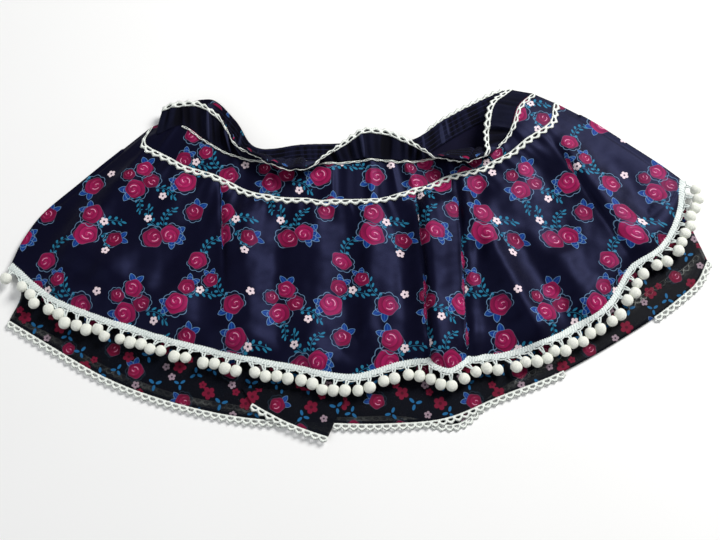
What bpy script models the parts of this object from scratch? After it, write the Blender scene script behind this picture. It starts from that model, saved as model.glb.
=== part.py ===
"""A mini skirt laid flat, front up, waist away from the viewer.

Elastic waistband, printed yoke, printed flounce with a pompom trim, and a longer sheer
under-tier with a lace hem.  Every cut piece is a closed wall of its own.  The panels lie on
each other: back flounce, back tier, front tier, front flounce.

Lengths are in millimetres here and become metres in wall().  +X is the wearer's left side,
+Y runs from hem to waist, +Z is up.
"""

from collections import namedtuple

import bpy
import numpy as np

MM = 0.001

# Walls and gaps
BAND_WALL = 2.0
CLOTH_WALL = 1.2
SHEER_WALL = 1.0
LACE_WALL = 0.8
BRAID_WALL = 1.0
GAP = 0.3
LACE_GAP = 1.0
BRAID_GAP = 0.5
TIER_GAP = 0.5

# Trims, measured across
WAIST_LACE_ON_BAND = 4.0
WAIST_LACE_PROUD = 5.0
BAND_LACE_FROM_SEAM = 5.8
BAND_LACE_WIDTH = 4.0
YOKE_LACE_ABOVE = 2.0
YOKE_LACE_BELOW = 7.0
HEM_LACE_WIDTH = 8.5
BRAID_ON_CLOTH = 3.5
BRAID_PROUD = 3.5
POMPOM = 10.4
TRIM_REACH = 21.0
TRIM_LEAN = 0.35

# Shape of the laid-out skirt
COLUMNS = 40
HEM_SETBACK = 0.17
CORNER_SETBACK = 0.15
CORNER_SHARE = 0.09
YOKE_BULGE = 1.5
BAND_BULGE = 1.0
MIDDLE_Y = 13.3
ROOMY = 22.0

NAVY = (0.012, 0.012, 0.035, 1.0)
SATIN = (0.016, 0.015, 0.055, 1.0)
SHEER = (0.020, 0.016, 0.024, 1.0)
OFF_WHITE = (0.80, 0.83, 0.76, 1.0)


# Seam lines.  A row is one section across the waist, from the left of the view to the
# right: the waist edge, the band's lower seam and the yoke's lower seam.
Section = namedtuple(
    "Section", "name waist_x waist_y waist_z band_x band_y band_z yoke_x yoke_y yoke_z"
)
FRONT_SECTIONS = [
    Section("left side", -210, 179, 5.4, -208, 166, 5.4, -220, 162, 3.8),
    Section("left turn", -204, 183, 12, -214, 147, 10, -229, 138, 8),
    Section("left rise", -188, 187, 17, -188, 156, 14, -202, 127, 11),
    Section("left crest", -163, 185, 18, -165, 143, 15, -176, 107, 12),
    Section("left fall", -138, 166, 20, -142, 128, 15, -141, 90, 12),
    Section("left slope", -115, 132, 23, -115, 119, 13, -118, 80, 12),
    Section("left dip", -92, 111, 27, -90, 117, 12, -92, 73, 12),
    Section("left hollow", -62, 98, 29, -60, 117, 13, -62, 72, 11),
    Section("centre rise", -36, 118, 23, -33, 115, 12, -32, 71, 13),
    Section("centre crest", 12, 151, 18, 15, 119, 14, 20, 73, 13),
    Section("centre fall", 50, 137, 20, 50, 116, 14, 58, 84, 13),
    Section("right dip", 78, 115, 26, 80, 122, 13, 86, 96, 11.5),
    Section("right hollow", 104, 106, 30, 112, 128, 13, 115, 106, 11),
    Section("right turn", 128, 119, 27, 142, 134, 13, 147, 120, 11.5),
    Section("right wall", 129, 146, 22, 156, 152, 13, 170, 138, 13),
    Section("right crest", 140, 184, 19, 168, 184, 12, 201, 165, 10),
    Section("right side", 160, 203, 5.4, 184, 199, 5.4, 210, 190, 3.8),
]
Flat = namedtuple("Flat", "name waist_x waist_y band_x band_y yoke_x yoke_y")
BACK_SECTIONS = [
    Flat("left side", -210, 179, -208, 166, -220, 162),
    Flat("left rise", -188, 182, -190, 161, -199, 135),
    Flat("left crest", -158, 187, -161, 163, -168, 135),
    Flat("left fall", -134, 172, -137, 148, -140, 119),
    Flat("left hollow", -110, 138, -111, 114, -112, 88),
    Flat("centre left", -60, 141, -60, 117, -62, 88),
    Flat("centre", 0, 143, 0, 118, 0, 88),
    Flat("centre right", 58, 148, 60, 123, 62, 93),
    Flat("right rise", 88, 170, 91, 144, 95, 116),
    Flat("right crest", 118, 188, 123, 164, 130, 137),
    Flat("right top", 144, 200, 154, 177, 168, 156),
    Flat("right side", 160, 203, 184, 199, 210, 190),
]

# Outline of the flounce and the under-tier.  A row is one stretch of the hem.
Hem = namedtuple("Hem", "name x y")
FLOUNCE_HEM = [
    Hem("left corner", -348, 3),
    Hem("left end", -304, -31),
    Hem("left panel", -253, -53),
    Hem("left middle", -205, -69),
    Hem("left fold", -128, -90),
    Hem("centre left", -59, -103),
    Hem("centre", -4, -112),
    Hem("centre right", 40, -99),
    Hem("pleat left", 66, -97),
    Hem("pleat middle", 84, -107),
    Hem("pleat right", 102, -97),
    Hem("right middle", 146, -89),
    Hem("right panel", 200, -67),
    Hem("right wave", 246, -35),
    Hem("right bay", 268, -1),
    Hem("right bulge", 302, 23),
    Hem("right end", 324, 60),
    Hem("right corner", 332, 98),
]
LEFT_EDGE = [(-220, 162), (-239, 147), (-262, 121), (-290, 94), (-318, 66), (-336, 39), (-348, 3)]
RIGHT_EDGE = [(210, 190), (232, 178), (252, 163), (290, 134), (317, 112), (332, 98)]
Tier = namedtuple("Tier", "name front_x front_y back_x back_y")
TIER_HEM = [
    Tier("left corner", -343, -55, -339, -50),
    Tier("left end", -301, -80, -302, -68),
    Tier("left panel", -238, -115, -240, -103),
    Tier("left middle", -173, -138, -174, -128),
    Tier("centre left", -112, -151, -116, -139),
    Tier("centre", -40, -156, -40, -150),
    Tier("centre right", 30, -157, 40, -150),
    Tier("peeping edge", 80, -152, 94, -156),
    Tier("right middle", 132, -131, 124, -130),
    Tier("right panel", 190, -108, 184, -93),
    Tier("right run", 252, -74, 242, -54),
    Tier("right end", 313, -33, 304, -10),
    Tier("right turn", 335, -14, 324, 2),
    Tier("right corner", 348, 9, 338, 16),
]
# The corner of the front tier that is folded over itself: its four corners.
OVERLAP = {
    "top left": (-113, -122),
    "top right": (-12, -127),
    "hem left": (-102, -138),
    "hem right": (-30, -170),
}
TUCKED_FROM, TUCKED_TO = 0.735, 0.865

# Rows of the plan that all the flounce and tier layers share, from the yoke seam down.
# "along" is the share of the way through the zone; "pile" is how high the hidden layers
# and the back pompoms lift whatever lies above that row.
PlanRow = namedtuple("PlanRow", "name zone along pile")
PLAN = [
    PlanRow("yoke seam", "cloth", 0.0, 1.5),
    PlanRow("upper cloth", "cloth", 0.25, 1.5),
    PlanRow("middle cloth", "cloth", 0.5, 1.5),
    PlanRow("lower cloth", "cloth", 0.74, 1.5),
    PlanRow("above back hem", "cloth", 0.92, 1.5),
    PlanRow("back hem", "cloth", 1.0, 3.0),
    PlanRow("back stems", "trim", 0.30, 8.5),
    PlanRow("back pompoms", "trim", 0.56, 8.5),
    PlanRow("front hem", "trim", 1.0, 1.5),
    PlanRow("beyond the hem", "tier", 0.28, 0.0),
    PlanRow("tier hem", "tier", 1.0, 0.0),
]
BACK_HEM = 5
FRONT_HEM = 8
TIER_ROWS = [1, 4, 5, 6, 7, 8, 9, 10]

# Largest folds of the front flounce: a ridge from (x0, y0) to (x1, y1), its half width and
# its height; a trough has a height below nothing.
Fold = namedtuple("Fold", "name x0 y0 x1 y1 half height")
FOLDS = [
    Fold("left sweep", -150, 90, -250, -40, 55, 4.0),
    Fold("left crease", -143, 88, -136, -20, 12, -4.0),
    Fold("left ridge", -120, 75, -105, -92, 26, 4.5),
    Fold("centre roll", -35, 68, -30, -100, 34, 5.0),
    Fold("centre trough", 28, 70, 40, -90, 16, -2.5),
    Fold("pleat", 76, 92, 84, -104, 17, 9.0),
    Fold("right trough", 122, 100, 118, -80, 13, -3.0),
    Fold("right ridge", 128, 60, 188, -66, 28, 7.0),
    Fold("right hollow", 178, 120, 205, 10, 22, -3.0),
    Fold("side fold", 205, 140, 268, 45, 20, 6.0),
]


def smooth(share):
    """An even step from 0 to 1 with level ends."""
    share = np.clip(share, 0.0, 1.0)
    return share * share * (3 - 2 * share)


def lengths(points):
    """Each point's distance along the line, as a share of the whole."""
    steps = np.linalg.norm(np.diff(points[:, :2], axis=0), axis=1)
    far = np.concatenate([[0.0], np.cumsum(steps)])
    return far / far[-1]


def through(points, knots, shares):
    """A smooth curve through the points, read at the given shares."""
    points = np.asarray(points, dtype=float)
    slopes = np.gradient(points, knots, axis=0)
    i = np.clip(np.searchsorted(knots, shares) - 1, 0, len(knots) - 2)
    step = (knots[i + 1] - knots[i])[:, None]
    t = (np.asarray(shares) - knots[i])[:, None] / step
    start = (2 * t**3 - 3 * t**2 + 1) * points[i] + (t**3 - 2 * t**2 + t) * step * slopes[i]
    end = (3 * t**2 - 2 * t**3) * points[i + 1] + (t**3 - t**2) * step * slopes[i + 1]
    return start + end


def columns_of(rows, *columns):
    """The named columns of a table as an array of points."""
    return np.array([[getattr(row, column) for column in columns] for row in rows], float)


def flat_curve(points, shares):
    """A smooth curve in the plane through the points, by length."""
    points = np.asarray(points, dtype=float)
    return through(points, lengths(points), shares)


SHARES = np.linspace(0.0, 1.0, COLUMNS + 1)
INNER = (smooth(SHARES / CORNER_SHARE) * smooth((1 - SHARES) / CORNER_SHARE))[:, None]


def seam_rows(rows, flat):
    """The waist edge and the two seams as three lines of points, one column each."""
    knots = lengths(columns_of(rows, "yoke_x", "yoke_y"))
    names = ("x", "y") if flat else ("x", "y", "z")
    lines = []
    for seam in ("waist", "band", "yoke"):
        points = columns_of(rows, *[f"{seam}_{name}" for name in names])
        lines.append(through(points, knots, SHARES))
    return lines


def flounce_plan(top, share_down):
    """Points of the flounce's plan at a share of its length, one share for each column."""
    hem = flat_curve(columns_of(FLOUNCE_HEM, "x", "y"), SHARES)
    down = np.ravel(share_down)
    straight = top + (hem - top) * down[:, None]
    left = flat_curve(LEFT_EDGE, down) - (top[0] + (hem[0] - top[0]) * down[:, None])
    right = flat_curve(RIGHT_EDGE, down) - (top[-1] + (hem[-1] - top[-1]) * down[:, None])
    across = SHARES[:, None]
    return straight + left * (1 - across) ** 2 + right * across**2


def tier_plan(side, along):
    """Points of the under-tier's plan beyond the flounce hem, corner to corner."""
    hem = flat_curve(columns_of(FLOUNCE_HEM, "x", "y"), SHARES)
    inside = np.clip((SHARES * COLUMNS - 1) / (COLUMNS - 2), 0.0, 1.0)
    edge = flat_curve(columns_of(TIER_HEM, f"{side}_x", f"{side}_y"), inside)
    return hem + (edge - hem) * along


def plan_rows(top, side):
    """The plan of every layer: for each row of PLAN, its points and its pile."""
    back_hem = 1 - HEM_SETBACK * (CORNER_SETBACK + (1 - CORNER_SETBACK) * INNER[:, 0])
    rows = []
    for row in PLAN:
        if row.zone == "cloth":
            points = flounce_plan(top, row.along * back_hem)
        elif row.zone == "trim":
            points = flounce_plan(top, back_hem + row.along * (1 - back_hem))
        else:
            points = tier_plan(side, row.along)
        level = min(row.pile, 1.5)
        pile = level + (row.pile - level) * INNER
        rows.append(np.hstack([points, pile]))
    return np.array(rows)


def raised(rows, height):
    """The same rows moved up."""
    return rows + np.array([0.0, 0.0, height])


def ridge(points, fold):
    """How far one fold lifts the cloth at each point."""
    start = np.array([fold.x0, fold.y0], dtype=float)
    run = np.array([fold.x1, fold.y1], dtype=float) - start
    length = np.linalg.norm(run)
    away = points - start
    along = away @ run / length**2
    across = np.abs(away[..., 0] * run[1] - away[..., 1] * run[0]) / length
    ends = smooth((along + 0.1) / 0.25) * smooth((1.15 - along) / 0.3)
    return fold.height * ends * np.exp(-((across / fold.half) ** 2))


def outward(rows):
    """Unit normals of a grid of points, on the side that shows."""
    down = np.gradient(rows, axis=0)
    right = np.gradient(rows, axis=1)
    normals = np.cross(down, right)
    normals /= np.linalg.norm(normals, axis=2, keepdims=True)
    normals = normals * INNER + np.array([0.0, 0.0, 1.0]) * (1 - INNER)
    return normals / np.linalg.norm(normals, axis=2, keepdims=True)


def toward(start, end, distance, roomy=ROOMY):
    """Points moved from one row towards the next, by less where the rows run close."""
    step = end - start
    length = np.linalg.norm(step, axis=-1, keepdims=True)
    return start + step / length * distance * np.minimum(1.0, length / roomy)


def trimmed(rows, first, last):
    """A panel's rows, each end row moved in by half the seam gap where it is sewn on."""
    rows = rows.copy()
    if first:
        rows[0] = toward(rows[0], rows[1], GAP / 2, roomy=GAP)
    if last:
        rows[-1] = toward(rows[-1], rows[-2], GAP / 2, roomy=GAP)
    return rows


def finish(name, colour, roughness):
    """A plain cloth material."""
    made = bpy.data.materials.get(name) or bpy.data.materials.new(name)
    made.use_nodes = True
    shader = made.node_tree.nodes["Principled BSDF"]
    shader.inputs["Base Color"].default_value = colour
    shader.inputs["Roughness"].default_value = roughness
    shader.inputs["Metallic"].default_value = 0.0
    return made


def wall(name, upper, lower, material):
    """A closed wall between two grids of points, each a list of rows from waist to hem."""
    deep, wide = upper.shape[:2]
    points = np.concatenate([upper.reshape(-1, 3), lower.reshape(-1, 3)])
    points = (points - np.array([0.0, MIDDLE_Y, 0.0])) * MM

    def corner(layer, row, column):
        return layer * deep * wide + row * wide + column

    faces = []
    for row in range(deep - 1):
        for column in range(wide - 1):
            square = [(row, column), (row + 1, column), (row + 1, column + 1), (row, column + 1)]
            faces.append([corner(0, *place) for place in square])
            faces.append([corner(1, *place) for place in reversed(square)])
    rim = [(0, column) for column in range(wide)]
    rim += [(row, wide - 1) for row in range(1, deep)]
    rim += [(deep - 1, column) for column in range(wide - 2, -1, -1)]
    rim += [(row, 0) for row in range(deep - 2, 0, -1)]
    for here, there in zip(rim, rim[1:] + rim[:1]):
        faces.append([corner(0, *here), corner(0, *there), corner(1, *there), corner(1, *here)])
    mesh = bpy.data.meshes.new(name)
    mesh.from_pydata([tuple(point) for point in points], [], faces)
    mesh.materials.append(material)
    mesh.shade_smooth()
    made = bpy.data.objects.new(name, mesh)
    bpy.context.collection.objects.link(made)
    return made


def front_surface():
    """Rows of the front's outer face from waist edge to hem, and which row is each seam."""
    waist, band, yoke = seam_rows(FRONT_SECTIONS, flat=False)
    rows = [waist]
    for start, end, bulge, steps in ((waist, band, BAND_BULGE, 2), (band, yoke, YOKE_BULGE, 2)):
        for step in range(1, steps):
            share = step / steps
            row = start + (end - start) * share
            row[:, 2] += bulge * np.sin(np.pi * share) * INNER[:, 0]
            rows.append(row)
        rows.append(end)
    seam = len(rows) - 1
    plan = plan_rows(yoke[:, :2], "front")
    over_tiers = 2 * SHEER_WALL + TIER_GAP + GAP + CLOTH_WALL
    for index in range(1, FRONT_HEM + 1):
        row = plan[index].copy()
        lift = row[:, 2] + over_tiers
        puff = 7.0 * (1 - index / FRONT_HEM) + 1.0
        for fold in FOLDS:
            puff = puff + ridge(row[:, :2], fold)
        row[:, 2] = lift + np.maximum(puff, 0.0) * INNER[:, 0]
        row[[0, -1], 2] = 2 * CLOTH_WALL + GAP
        rows.append(row)
    return np.array(rows), 2, seam


def build_front(satin, navy, lace, braid):
    """Front waistband, yoke, flounce and what is sewn on them."""
    rows, band_seam, yoke_seam = front_surface()
    last_row = len(rows) - 1

    def panel(name, first, last, thickness, material):
        facing = outward(rows[first : last + 1])
        outer = trimmed(rows[first : last + 1], first > 0, last < last_row)
        wall(name, outer, outer - facing * thickness, material)
        return facing

    band = panel("waistband_front", 0, band_seam, BAND_WALL, navy)
    yoke = panel("yoke_front", band_seam, yoke_seam, CLOTH_WALL, satin)
    flounce = panel("flounce_front", yoke_seam, last_row, CLOTH_WALL, satin)

    def strip(name, lines, facing, gap, thickness, material):
        lines = np.array(lines)
        facing = np.array(facing)
        wall(name, lines + facing * (gap + thickness), lines + facing * gap, material)

    top_edge = toward(rows[0], rows[1], -WAIST_LACE_PROUD)
    on_band = toward(rows[0], rows[1], WAIST_LACE_ON_BAND)
    strip("waist_lace_front", [top_edge, on_band], [band[0]] * 2, LACE_GAP, LACE_WALL, lace)
    seen = slice(2, COLUMNS)
    seam, below_seam = rows[band_seam, seen], rows[band_seam + 1, seen]
    near = toward(seam, below_seam, BAND_LACE_FROM_SEAM)
    far = toward(seam, below_seam, BAND_LACE_FROM_SEAM + BAND_LACE_WIDTH)
    strip("band_lace_front", [near, far], [yoke[0, seen]] * 2, LACE_GAP, LACE_WALL, lace)
    above = toward(rows[yoke_seam], rows[yoke_seam - 1], YOKE_LACE_ABOVE)
    below = toward(rows[yoke_seam], rows[yoke_seam + 1], YOKE_LACE_BELOW)
    middle = yoke[-1] + flounce[0]
    middle /= np.linalg.norm(middle, axis=1, keepdims=True)
    strip(
        "yoke_lace_front",
        [above, rows[yoke_seam], below],
        [yoke[-1], middle, flounce[0]],
        LACE_GAP,
        LACE_WALL,
        lace,
    )
    upright = np.tile([0.0, 0.0, 1.0], (COLUMNS + 1, 1))
    on_cloth = toward(rows[-1], rows[-2], BRAID_ON_CLOTH)
    proud = beyond(rows[-1], BRAID_PROUD)
    strip("pompom_braid_front", [on_cloth, proud], [upright] * 2, BRAID_GAP, BRAID_WALL, braid)
    return rows[-1]


def beyond(hem, distance, most_left=1.0):
    """A hem line moved outwards in the plane, leaning no further left than most_left."""
    run = np.gradient(hem[:, :2], axis=0)
    out = np.stack([np.maximum(run[:, 1], -most_left * np.abs(run[:, 0])), -run[:, 0]], axis=1)
    out /= np.linalg.norm(out, axis=1, keepdims=True)
    moved = hem.copy()
    moved[:, :2] += out * distance
    return moved


def build_front_fringe(hem, braid):
    """The reach of the stems and pompoms that hang from the front braid."""
    near = BRAID_PROUD + 2 * GAP
    far = TRIM_REACH
    section = [
        (near, 4.4, 6.2),
        (far - 0.85 * POMPOM, 4.4, 4.4 + 0.85 * POMPOM),
        (far - 0.2 * POMPOM, 4.4, 4.4 + 0.85 * POMPOM),
        (far, 6.5, 10.0),
    ]
    upper = []
    lower = []
    for distance, low, high in section:
        line = beyond(hem, distance, TRIM_LEAN)
        line[:, 2] = low
        lower.append(line)
        line = line.copy()
        line[:, 2] = high
        upper.append(line)
    wall("pompom_fringe_front", np.array(upper), np.array(lower), braid)


def build_back(satin, navy, lace, braid):
    """Back waistband, yoke and flounce, flat on the surface, and what is sewn on them."""
    waist, band, yoke = seam_rows(BACK_SECTIONS, flat=True)
    lift = LACE_WALL + GAP

    def level(points, height):
        return np.hstack([points, np.full((len(points), 1), height)])

    def panel(name, rows, thickness, material, sewn_first=True, sewn_last=True):
        lower = trimmed(np.array(rows), sewn_first, sewn_last)
        wall(name, raised(lower, thickness), lower, material)

    panel("waistband_back", [level(waist, lift), level(band, lift)], BAND_WALL, navy, False)
    panel("yoke_back", [level(band, lift), level(yoke, lift)], CLOTH_WALL, satin)
    plan = plan_rows(seam_rows(FRONT_SECTIONS, flat=False)[2][:, :2], "back")
    below = [plan[index][:, :2] for index in (2, 4, BACK_HEM)]
    panel(
        "flounce_back",
        [
            level(yoke, lift),
            level(toward(yoke, below[0], YOKE_LACE_BELOW), lift),
            level(toward(yoke, below[0], YOKE_LACE_BELOW + 2.0), 0.0),
        ]
        + [level(points, 0.0) for points in below],
        CLOTH_WALL,
        satin,
        sewn_last=False,
    )

    def strip(name, near, far, thickness, material):
        lower = np.array([level(near, 0.0), level(far, 0.0)])
        wall(name, raised(lower, thickness), lower, material)

    strip(
        "waist_lace_back",
        toward(waist, band, -WAIST_LACE_PROUD),
        toward(waist, band, WAIST_LACE_ON_BAND),
        LACE_WALL,
        lace,
    )
    strip(
        "band_lace_back",
        toward(band, yoke, BAND_LACE_FROM_SEAM),
        toward(band, yoke, BAND_LACE_FROM_SEAM + BAND_LACE_WIDTH),
        LACE_WALL,
        lace,
    )
    strip(
        "yoke_lace_back",
        toward(yoke, band, YOKE_LACE_ABOVE),
        toward(yoke, below[0], YOKE_LACE_BELOW),
        LACE_WALL,
        lace,
    )
    hem = level(below[-1], 0.0)
    braid_far = GAP + BRAID_ON_CLOTH + BRAID_PROUD
    ends = slice(3, COLUMNS - 2)
    trim_rows = [beyond(hem, GAP)[ends], beyond(hem, braid_far)[ends]]
    trim = np.array(trim_rows)
    wall("pompom_braid_back", raised(trim, BRAID_WALL), trim, braid)
    build_back_fringe(plan, hem, braid_far + 2 * GAP, ends, braid)


def build_back_fringe(plan, hem, near, ends, braid):
    """The reach of the back stems and pompoms, under the tiers."""
    stems = plan[BACK_HEM + 1][ends]
    balls = plan[BACK_HEM + 2][ends]
    start = beyond(hem, near)[ends]
    lower = np.array([start, stems, balls])
    upper = lower.copy()
    lower[:, :, 2] = 0.0
    upper[0, :, 2] = 2.0
    upper[1, :, 2] = stems[:, 2] - GAP
    upper[2, :, 2] = balls[:, 2] - GAP
    wall("pompom_fringe_back", upper, lower, braid)


def build_tiers(sheer, lace):
    """The sheer under-tier, front and back, its folded corner and its hem lace."""
    yoke = seam_rows(FRONT_SECTIONS, flat=False)[2][:, :2]
    inner = slice(1, COLUMNS)
    for side, layer in (("back", 0.0), ("front", SHEER_WALL + TIER_GAP)):
        rows = plan_rows(yoke, side)[TIER_ROWS, inner]
        lower = raised(rows, layer)
        wall(f"under_tier_{side}", raised(lower, SHEER_WALL), lower, sheer)
        hem = lower[-1]
        line = np.array([beyond(hem, 2 * GAP), beyond(hem, HEM_LACE_WIDTH)])
        if side == "back":
            wall("hem_lace_back", raised(line, LACE_WALL), line, lace)
            continue
        first = int(TUCKED_FROM * COLUMNS)
        second = int(TUCKED_TO * COLUMNS)
        stretches = {"left": slice(0, first), "right": slice(second, COLUMNS - 1)}
        for name, stretch in stretches.items():
            strip = line[:, stretch]
            wall(f"hem_lace_front_{name}", raised(strip, LACE_WALL), strip, lace)
        under = np.array([beyond(hem, -HEM_LACE_WIDTH), beyond(hem, -2 * GAP)])
        under = raised(under[:, first:second], -GAP)
        wall("hem_lace_front_tucked", under, raised(under, -LACE_WALL), lace)
    build_overlap(sheer, lace)


def build_overlap(sheer, lace):
    """The corner of the front tier folded over itself, with its own stretch of hem lace."""
    level = 2 * SHEER_WALL + TIER_GAP + GAP
    across = np.linspace(0.0, 1.0, 9)[:, None]
    top_left, top_right, hem_left, hem_right = (np.array(p, float) for p in OVERLAP.values())
    top = top_left + (top_right - top_left) * across
    hem = hem_left + (hem_right - hem_left) * across
    hem[:, 1] -= 3.0 * np.sin(np.pi * across[:, 0])
    rows = np.array([np.hstack([line, np.full((9, 1), level)]) for line in (top, hem)])
    wall("under_tier_overlap", raised(rows, SHEER_WALL), rows, sheer)
    line = np.array([beyond(rows[1], 2 * GAP), beyond(rows[1], HEM_LACE_WIDTH)])
    wall("hem_lace_overlap", raised(line, LACE_WALL), line, lace)


def main():
    for thing in list(bpy.data.objects):
        bpy.data.objects.remove(thing, do_unlink=True)
    satin = finish("printed_satin", SATIN, 0.38)
    navy = finish("navy_jersey", NAVY, 0.85)
    sheer = finish("printed_chiffon", SHEER, 0.75)
    lace = finish("picot_lace", OFF_WHITE, 0.9)
    braid = finish("pompom_trim", OFF_WHITE, 0.95)
    hem = build_front(satin, navy, lace, braid)
    build_front_fringe(hem, braid)
    build_back(satin, navy, lace, braid)
    build_tiers(sheer, lace)


main()
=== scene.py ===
"""A mini skirt laid flat: elastic band, printed satin yoke and flounce, sheer under-tier.

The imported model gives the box, the nodes and the slots.  Each cloth piece is modelled here as
a fine sheet on the same seam lines, with its gathers and folds; the laces, the braid and the
pompoms are laid along those sheets.  Tables are in millimetres; place() makes them metres.
"""

from collections import namedtuple
from functools import lru_cache

import bpy
import numpy as np
from mathutils.kdtree import KDTree
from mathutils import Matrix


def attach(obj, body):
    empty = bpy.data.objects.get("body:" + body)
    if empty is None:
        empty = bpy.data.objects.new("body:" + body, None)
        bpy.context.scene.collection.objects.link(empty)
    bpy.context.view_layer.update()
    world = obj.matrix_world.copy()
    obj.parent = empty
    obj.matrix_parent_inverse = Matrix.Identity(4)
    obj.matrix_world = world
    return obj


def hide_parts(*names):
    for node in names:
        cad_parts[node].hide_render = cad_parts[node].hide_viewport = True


bl_info = {
    "name": "Laid-out mini skirt",
    "version": (1, 0, 0),
    "blender": (4, 5, 0),
    "location": "3D View > Sidebar > Skirt",
    "description": "Models a mini skirt with lace, pompom trim and a sheer under-tier",
    "category": "Object",
}

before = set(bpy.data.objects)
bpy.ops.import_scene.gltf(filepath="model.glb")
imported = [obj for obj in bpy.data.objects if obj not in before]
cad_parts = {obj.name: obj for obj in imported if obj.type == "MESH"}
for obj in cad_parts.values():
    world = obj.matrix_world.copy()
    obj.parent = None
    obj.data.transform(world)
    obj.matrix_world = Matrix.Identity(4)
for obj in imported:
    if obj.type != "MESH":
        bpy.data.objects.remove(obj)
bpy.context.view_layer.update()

MM = 0.001
TURN = 2 * np.pi
MIDDLE_Y = 13.3

# Walls and gaps of the modelled cloth
BAND_WALL = 2.2
BACK_BAND_WALL = 1.6
SATIN_WALL = 0.6
SHEER_WALL = 0.4
BRAID_WALL = 0.9
BACK_BRAID_WALL = 0.4
TAPE_WALL = 0.45
LACE_PROUD = 0.35
GAP = 0.3

# The plain solids' layers, which the fine sheets follow
CAD_CLOTH_WALL = 1.2
CAD_SHEER_WALL = 1.0
CAD_TIER_GAP = 0.5
HEM_SETBACK = 0.17
CORNER_SETBACK = 0.15
CORNER_SHARE = 0.09
CAD_COLUMNS = 40
YOKE_BULGE = 1.5
BAND_BULGE = 1.0
# The pile of layers under a panel: its first THIN_PILE is kept, the rest is pressed down
THIN_PILE = 1.5
SOFT_PILE = 0.6
# On a panel shallower than ROOMY, what is sewn on lies closer to its edge
ROOMY = 22.0
# A sheet is lifted off the one below it only where that one is this near
REACH_BELOW = 9.0

# How high the back's panels lie
BACK_BAND_LEVEL = 3.1
BACK_YOKE_LEVEL = 2.3
BACK_FLOUNCE_LEVEL = 0.9
BACK_SEAM_LIFT = 1.4
# The under-tier: the front layer lies this far above the back one, and each lies this far
# above its own wall, but never nearer than the last
TIER_STEP = 0.9
TIER_REST = 0.15
TIER_LEAST = 0.05
# The front flounce: how far it stands off its layers at the yoke seam and at the hem, over
# how small a share of its width its side edges come down, and where the yoke's gathers are
# deepest and how far they spread
SEAM_PUFF = 7.0
HEM_PUFF = 1.0
EDGE_SHARE = 1 / 60
DEEPEST_X = 30.0
DEEPEST_HALF = 60.0

# Seam lines.  A row is one section across the waist, from the left of the view to the
# right: the waist edge, the band's lower seam and the yoke's lower seam.
Section = namedtuple(
    "Section", "name waist_x waist_y waist_z band_x band_y band_z yoke_x yoke_y yoke_z"
)
FRONT_SECTIONS = [
    Section("left side", -210, 178, 5.4, -208, 166, 5.4, -220, 162, 3.8),
    Section("left turn", -207, 180, 12, -213, 149, 10, -225, 139, 8),
    Section("left rise", -191, 184, 17, -188, 158, 14, -205, 123, 11),
    Section("left crest", -168, 181, 18, -165, 143, 15, -176, 109, 12),
    Section("left fall", -146, 163, 20, -142, 128, 15, -148, 98, 12),
    Section("left slope", -127, 131, 23, -117, 119, 13, -120, 82, 12),
    Section("left dip", -101, 111, 27, -91, 117, 12, -92, 74, 12),
    Section("left hollow", -62, 98, 29, -60, 117, 13, -62, 72, 11),
    Section("centre rise", -36, 118, 23, -33, 115, 12, -32, 71, 13),
    Section("centre crest", 12, 151, 18, 15, 119, 14, 20, 73, 13),
    Section("centre fall", 50, 137, 20, 50, 116, 14, 58, 84, 13),
    Section("right dip", 78, 115, 26, 80, 122, 13, 86, 96, 11.5),
    Section("right hollow", 104, 106, 30, 112, 128, 13, 115, 106, 11),
    Section("right turn", 128, 119, 27, 142, 134, 13, 147, 120, 11.5),
    Section("right wall", 129, 146, 22, 156, 152, 13, 170, 138, 13),
    Section("right crest", 140, 184, 19, 168, 184, 12, 201, 165, 10),
    Section("right side", 160, 207, 5.4, 184, 202, 5.4, 210, 190, 3.8),
]
Flat = namedtuple("Flat", "name waist_x waist_y band_x band_y yoke_x yoke_y")
BACK_SECTIONS = [
    Flat("left side", -210, 179, -208, 166, -220, 162),
    Flat("left rise", -188, 190, -190, 164, -199, 135),
    Flat("left crest", -158, 195, -161, 168, -168, 135),
    Flat("left fall", -133, 171, -137, 148, -140, 119),
    Flat("left hollow", -110, 138, -111, 114, -112, 88),
    Flat("centre left", -60, 141, -60, 117, -62, 88),
    Flat("centre", 0, 143, 0, 118, 0, 88),
    Flat("centre right", 58, 148, 60, 123, 62, 93),
    Flat("right rise", 88, 170, 91, 144, 95, 116),
    Flat("right crest", 118, 188, 123, 164, 130, 137),
    Flat("right top", 146, 203, 156, 180, 168, 157),
    Flat("right side", 160, 207, 184, 202, 210, 190),
]
Hem = namedtuple("Hem", "name x y")
FLOUNCE_HEM = [
    Hem("left corner", -348, 3),
    Hem("left end", -304, -31),
    Hem("left panel", -253, -53),
    Hem("left middle", -205, -69),
    Hem("left fold", -128, -90),
    Hem("centre left", -59, -103),
    Hem("centre", -4, -112),
    Hem("centre right", 40, -99),
    Hem("pleat left", 66, -97),
    Hem("pleat middle", 84, -107),
    Hem("pleat right", 102, -97),
    Hem("right middle", 146, -89),
    Hem("right panel", 200, -67),
    Hem("right wave", 246, -35),
    Hem("right bay", 268, -1),
    Hem("right bulge", 302, 23),
    Hem("right end", 324, 60),
    Hem("right corner", 332, 98),
]
LEFT_EDGE = [(-220, 162), (-239, 147), (-262, 121), (-290, 94), (-318, 66), (-336, 39), (-348, 3)]
RIGHT_EDGE = [(210, 190), (232, 178), (252, 163), (290, 134), (317, 112), (332, 98)]
Tier = namedtuple("Tier", "name front_x front_y back_x back_y")
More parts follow.
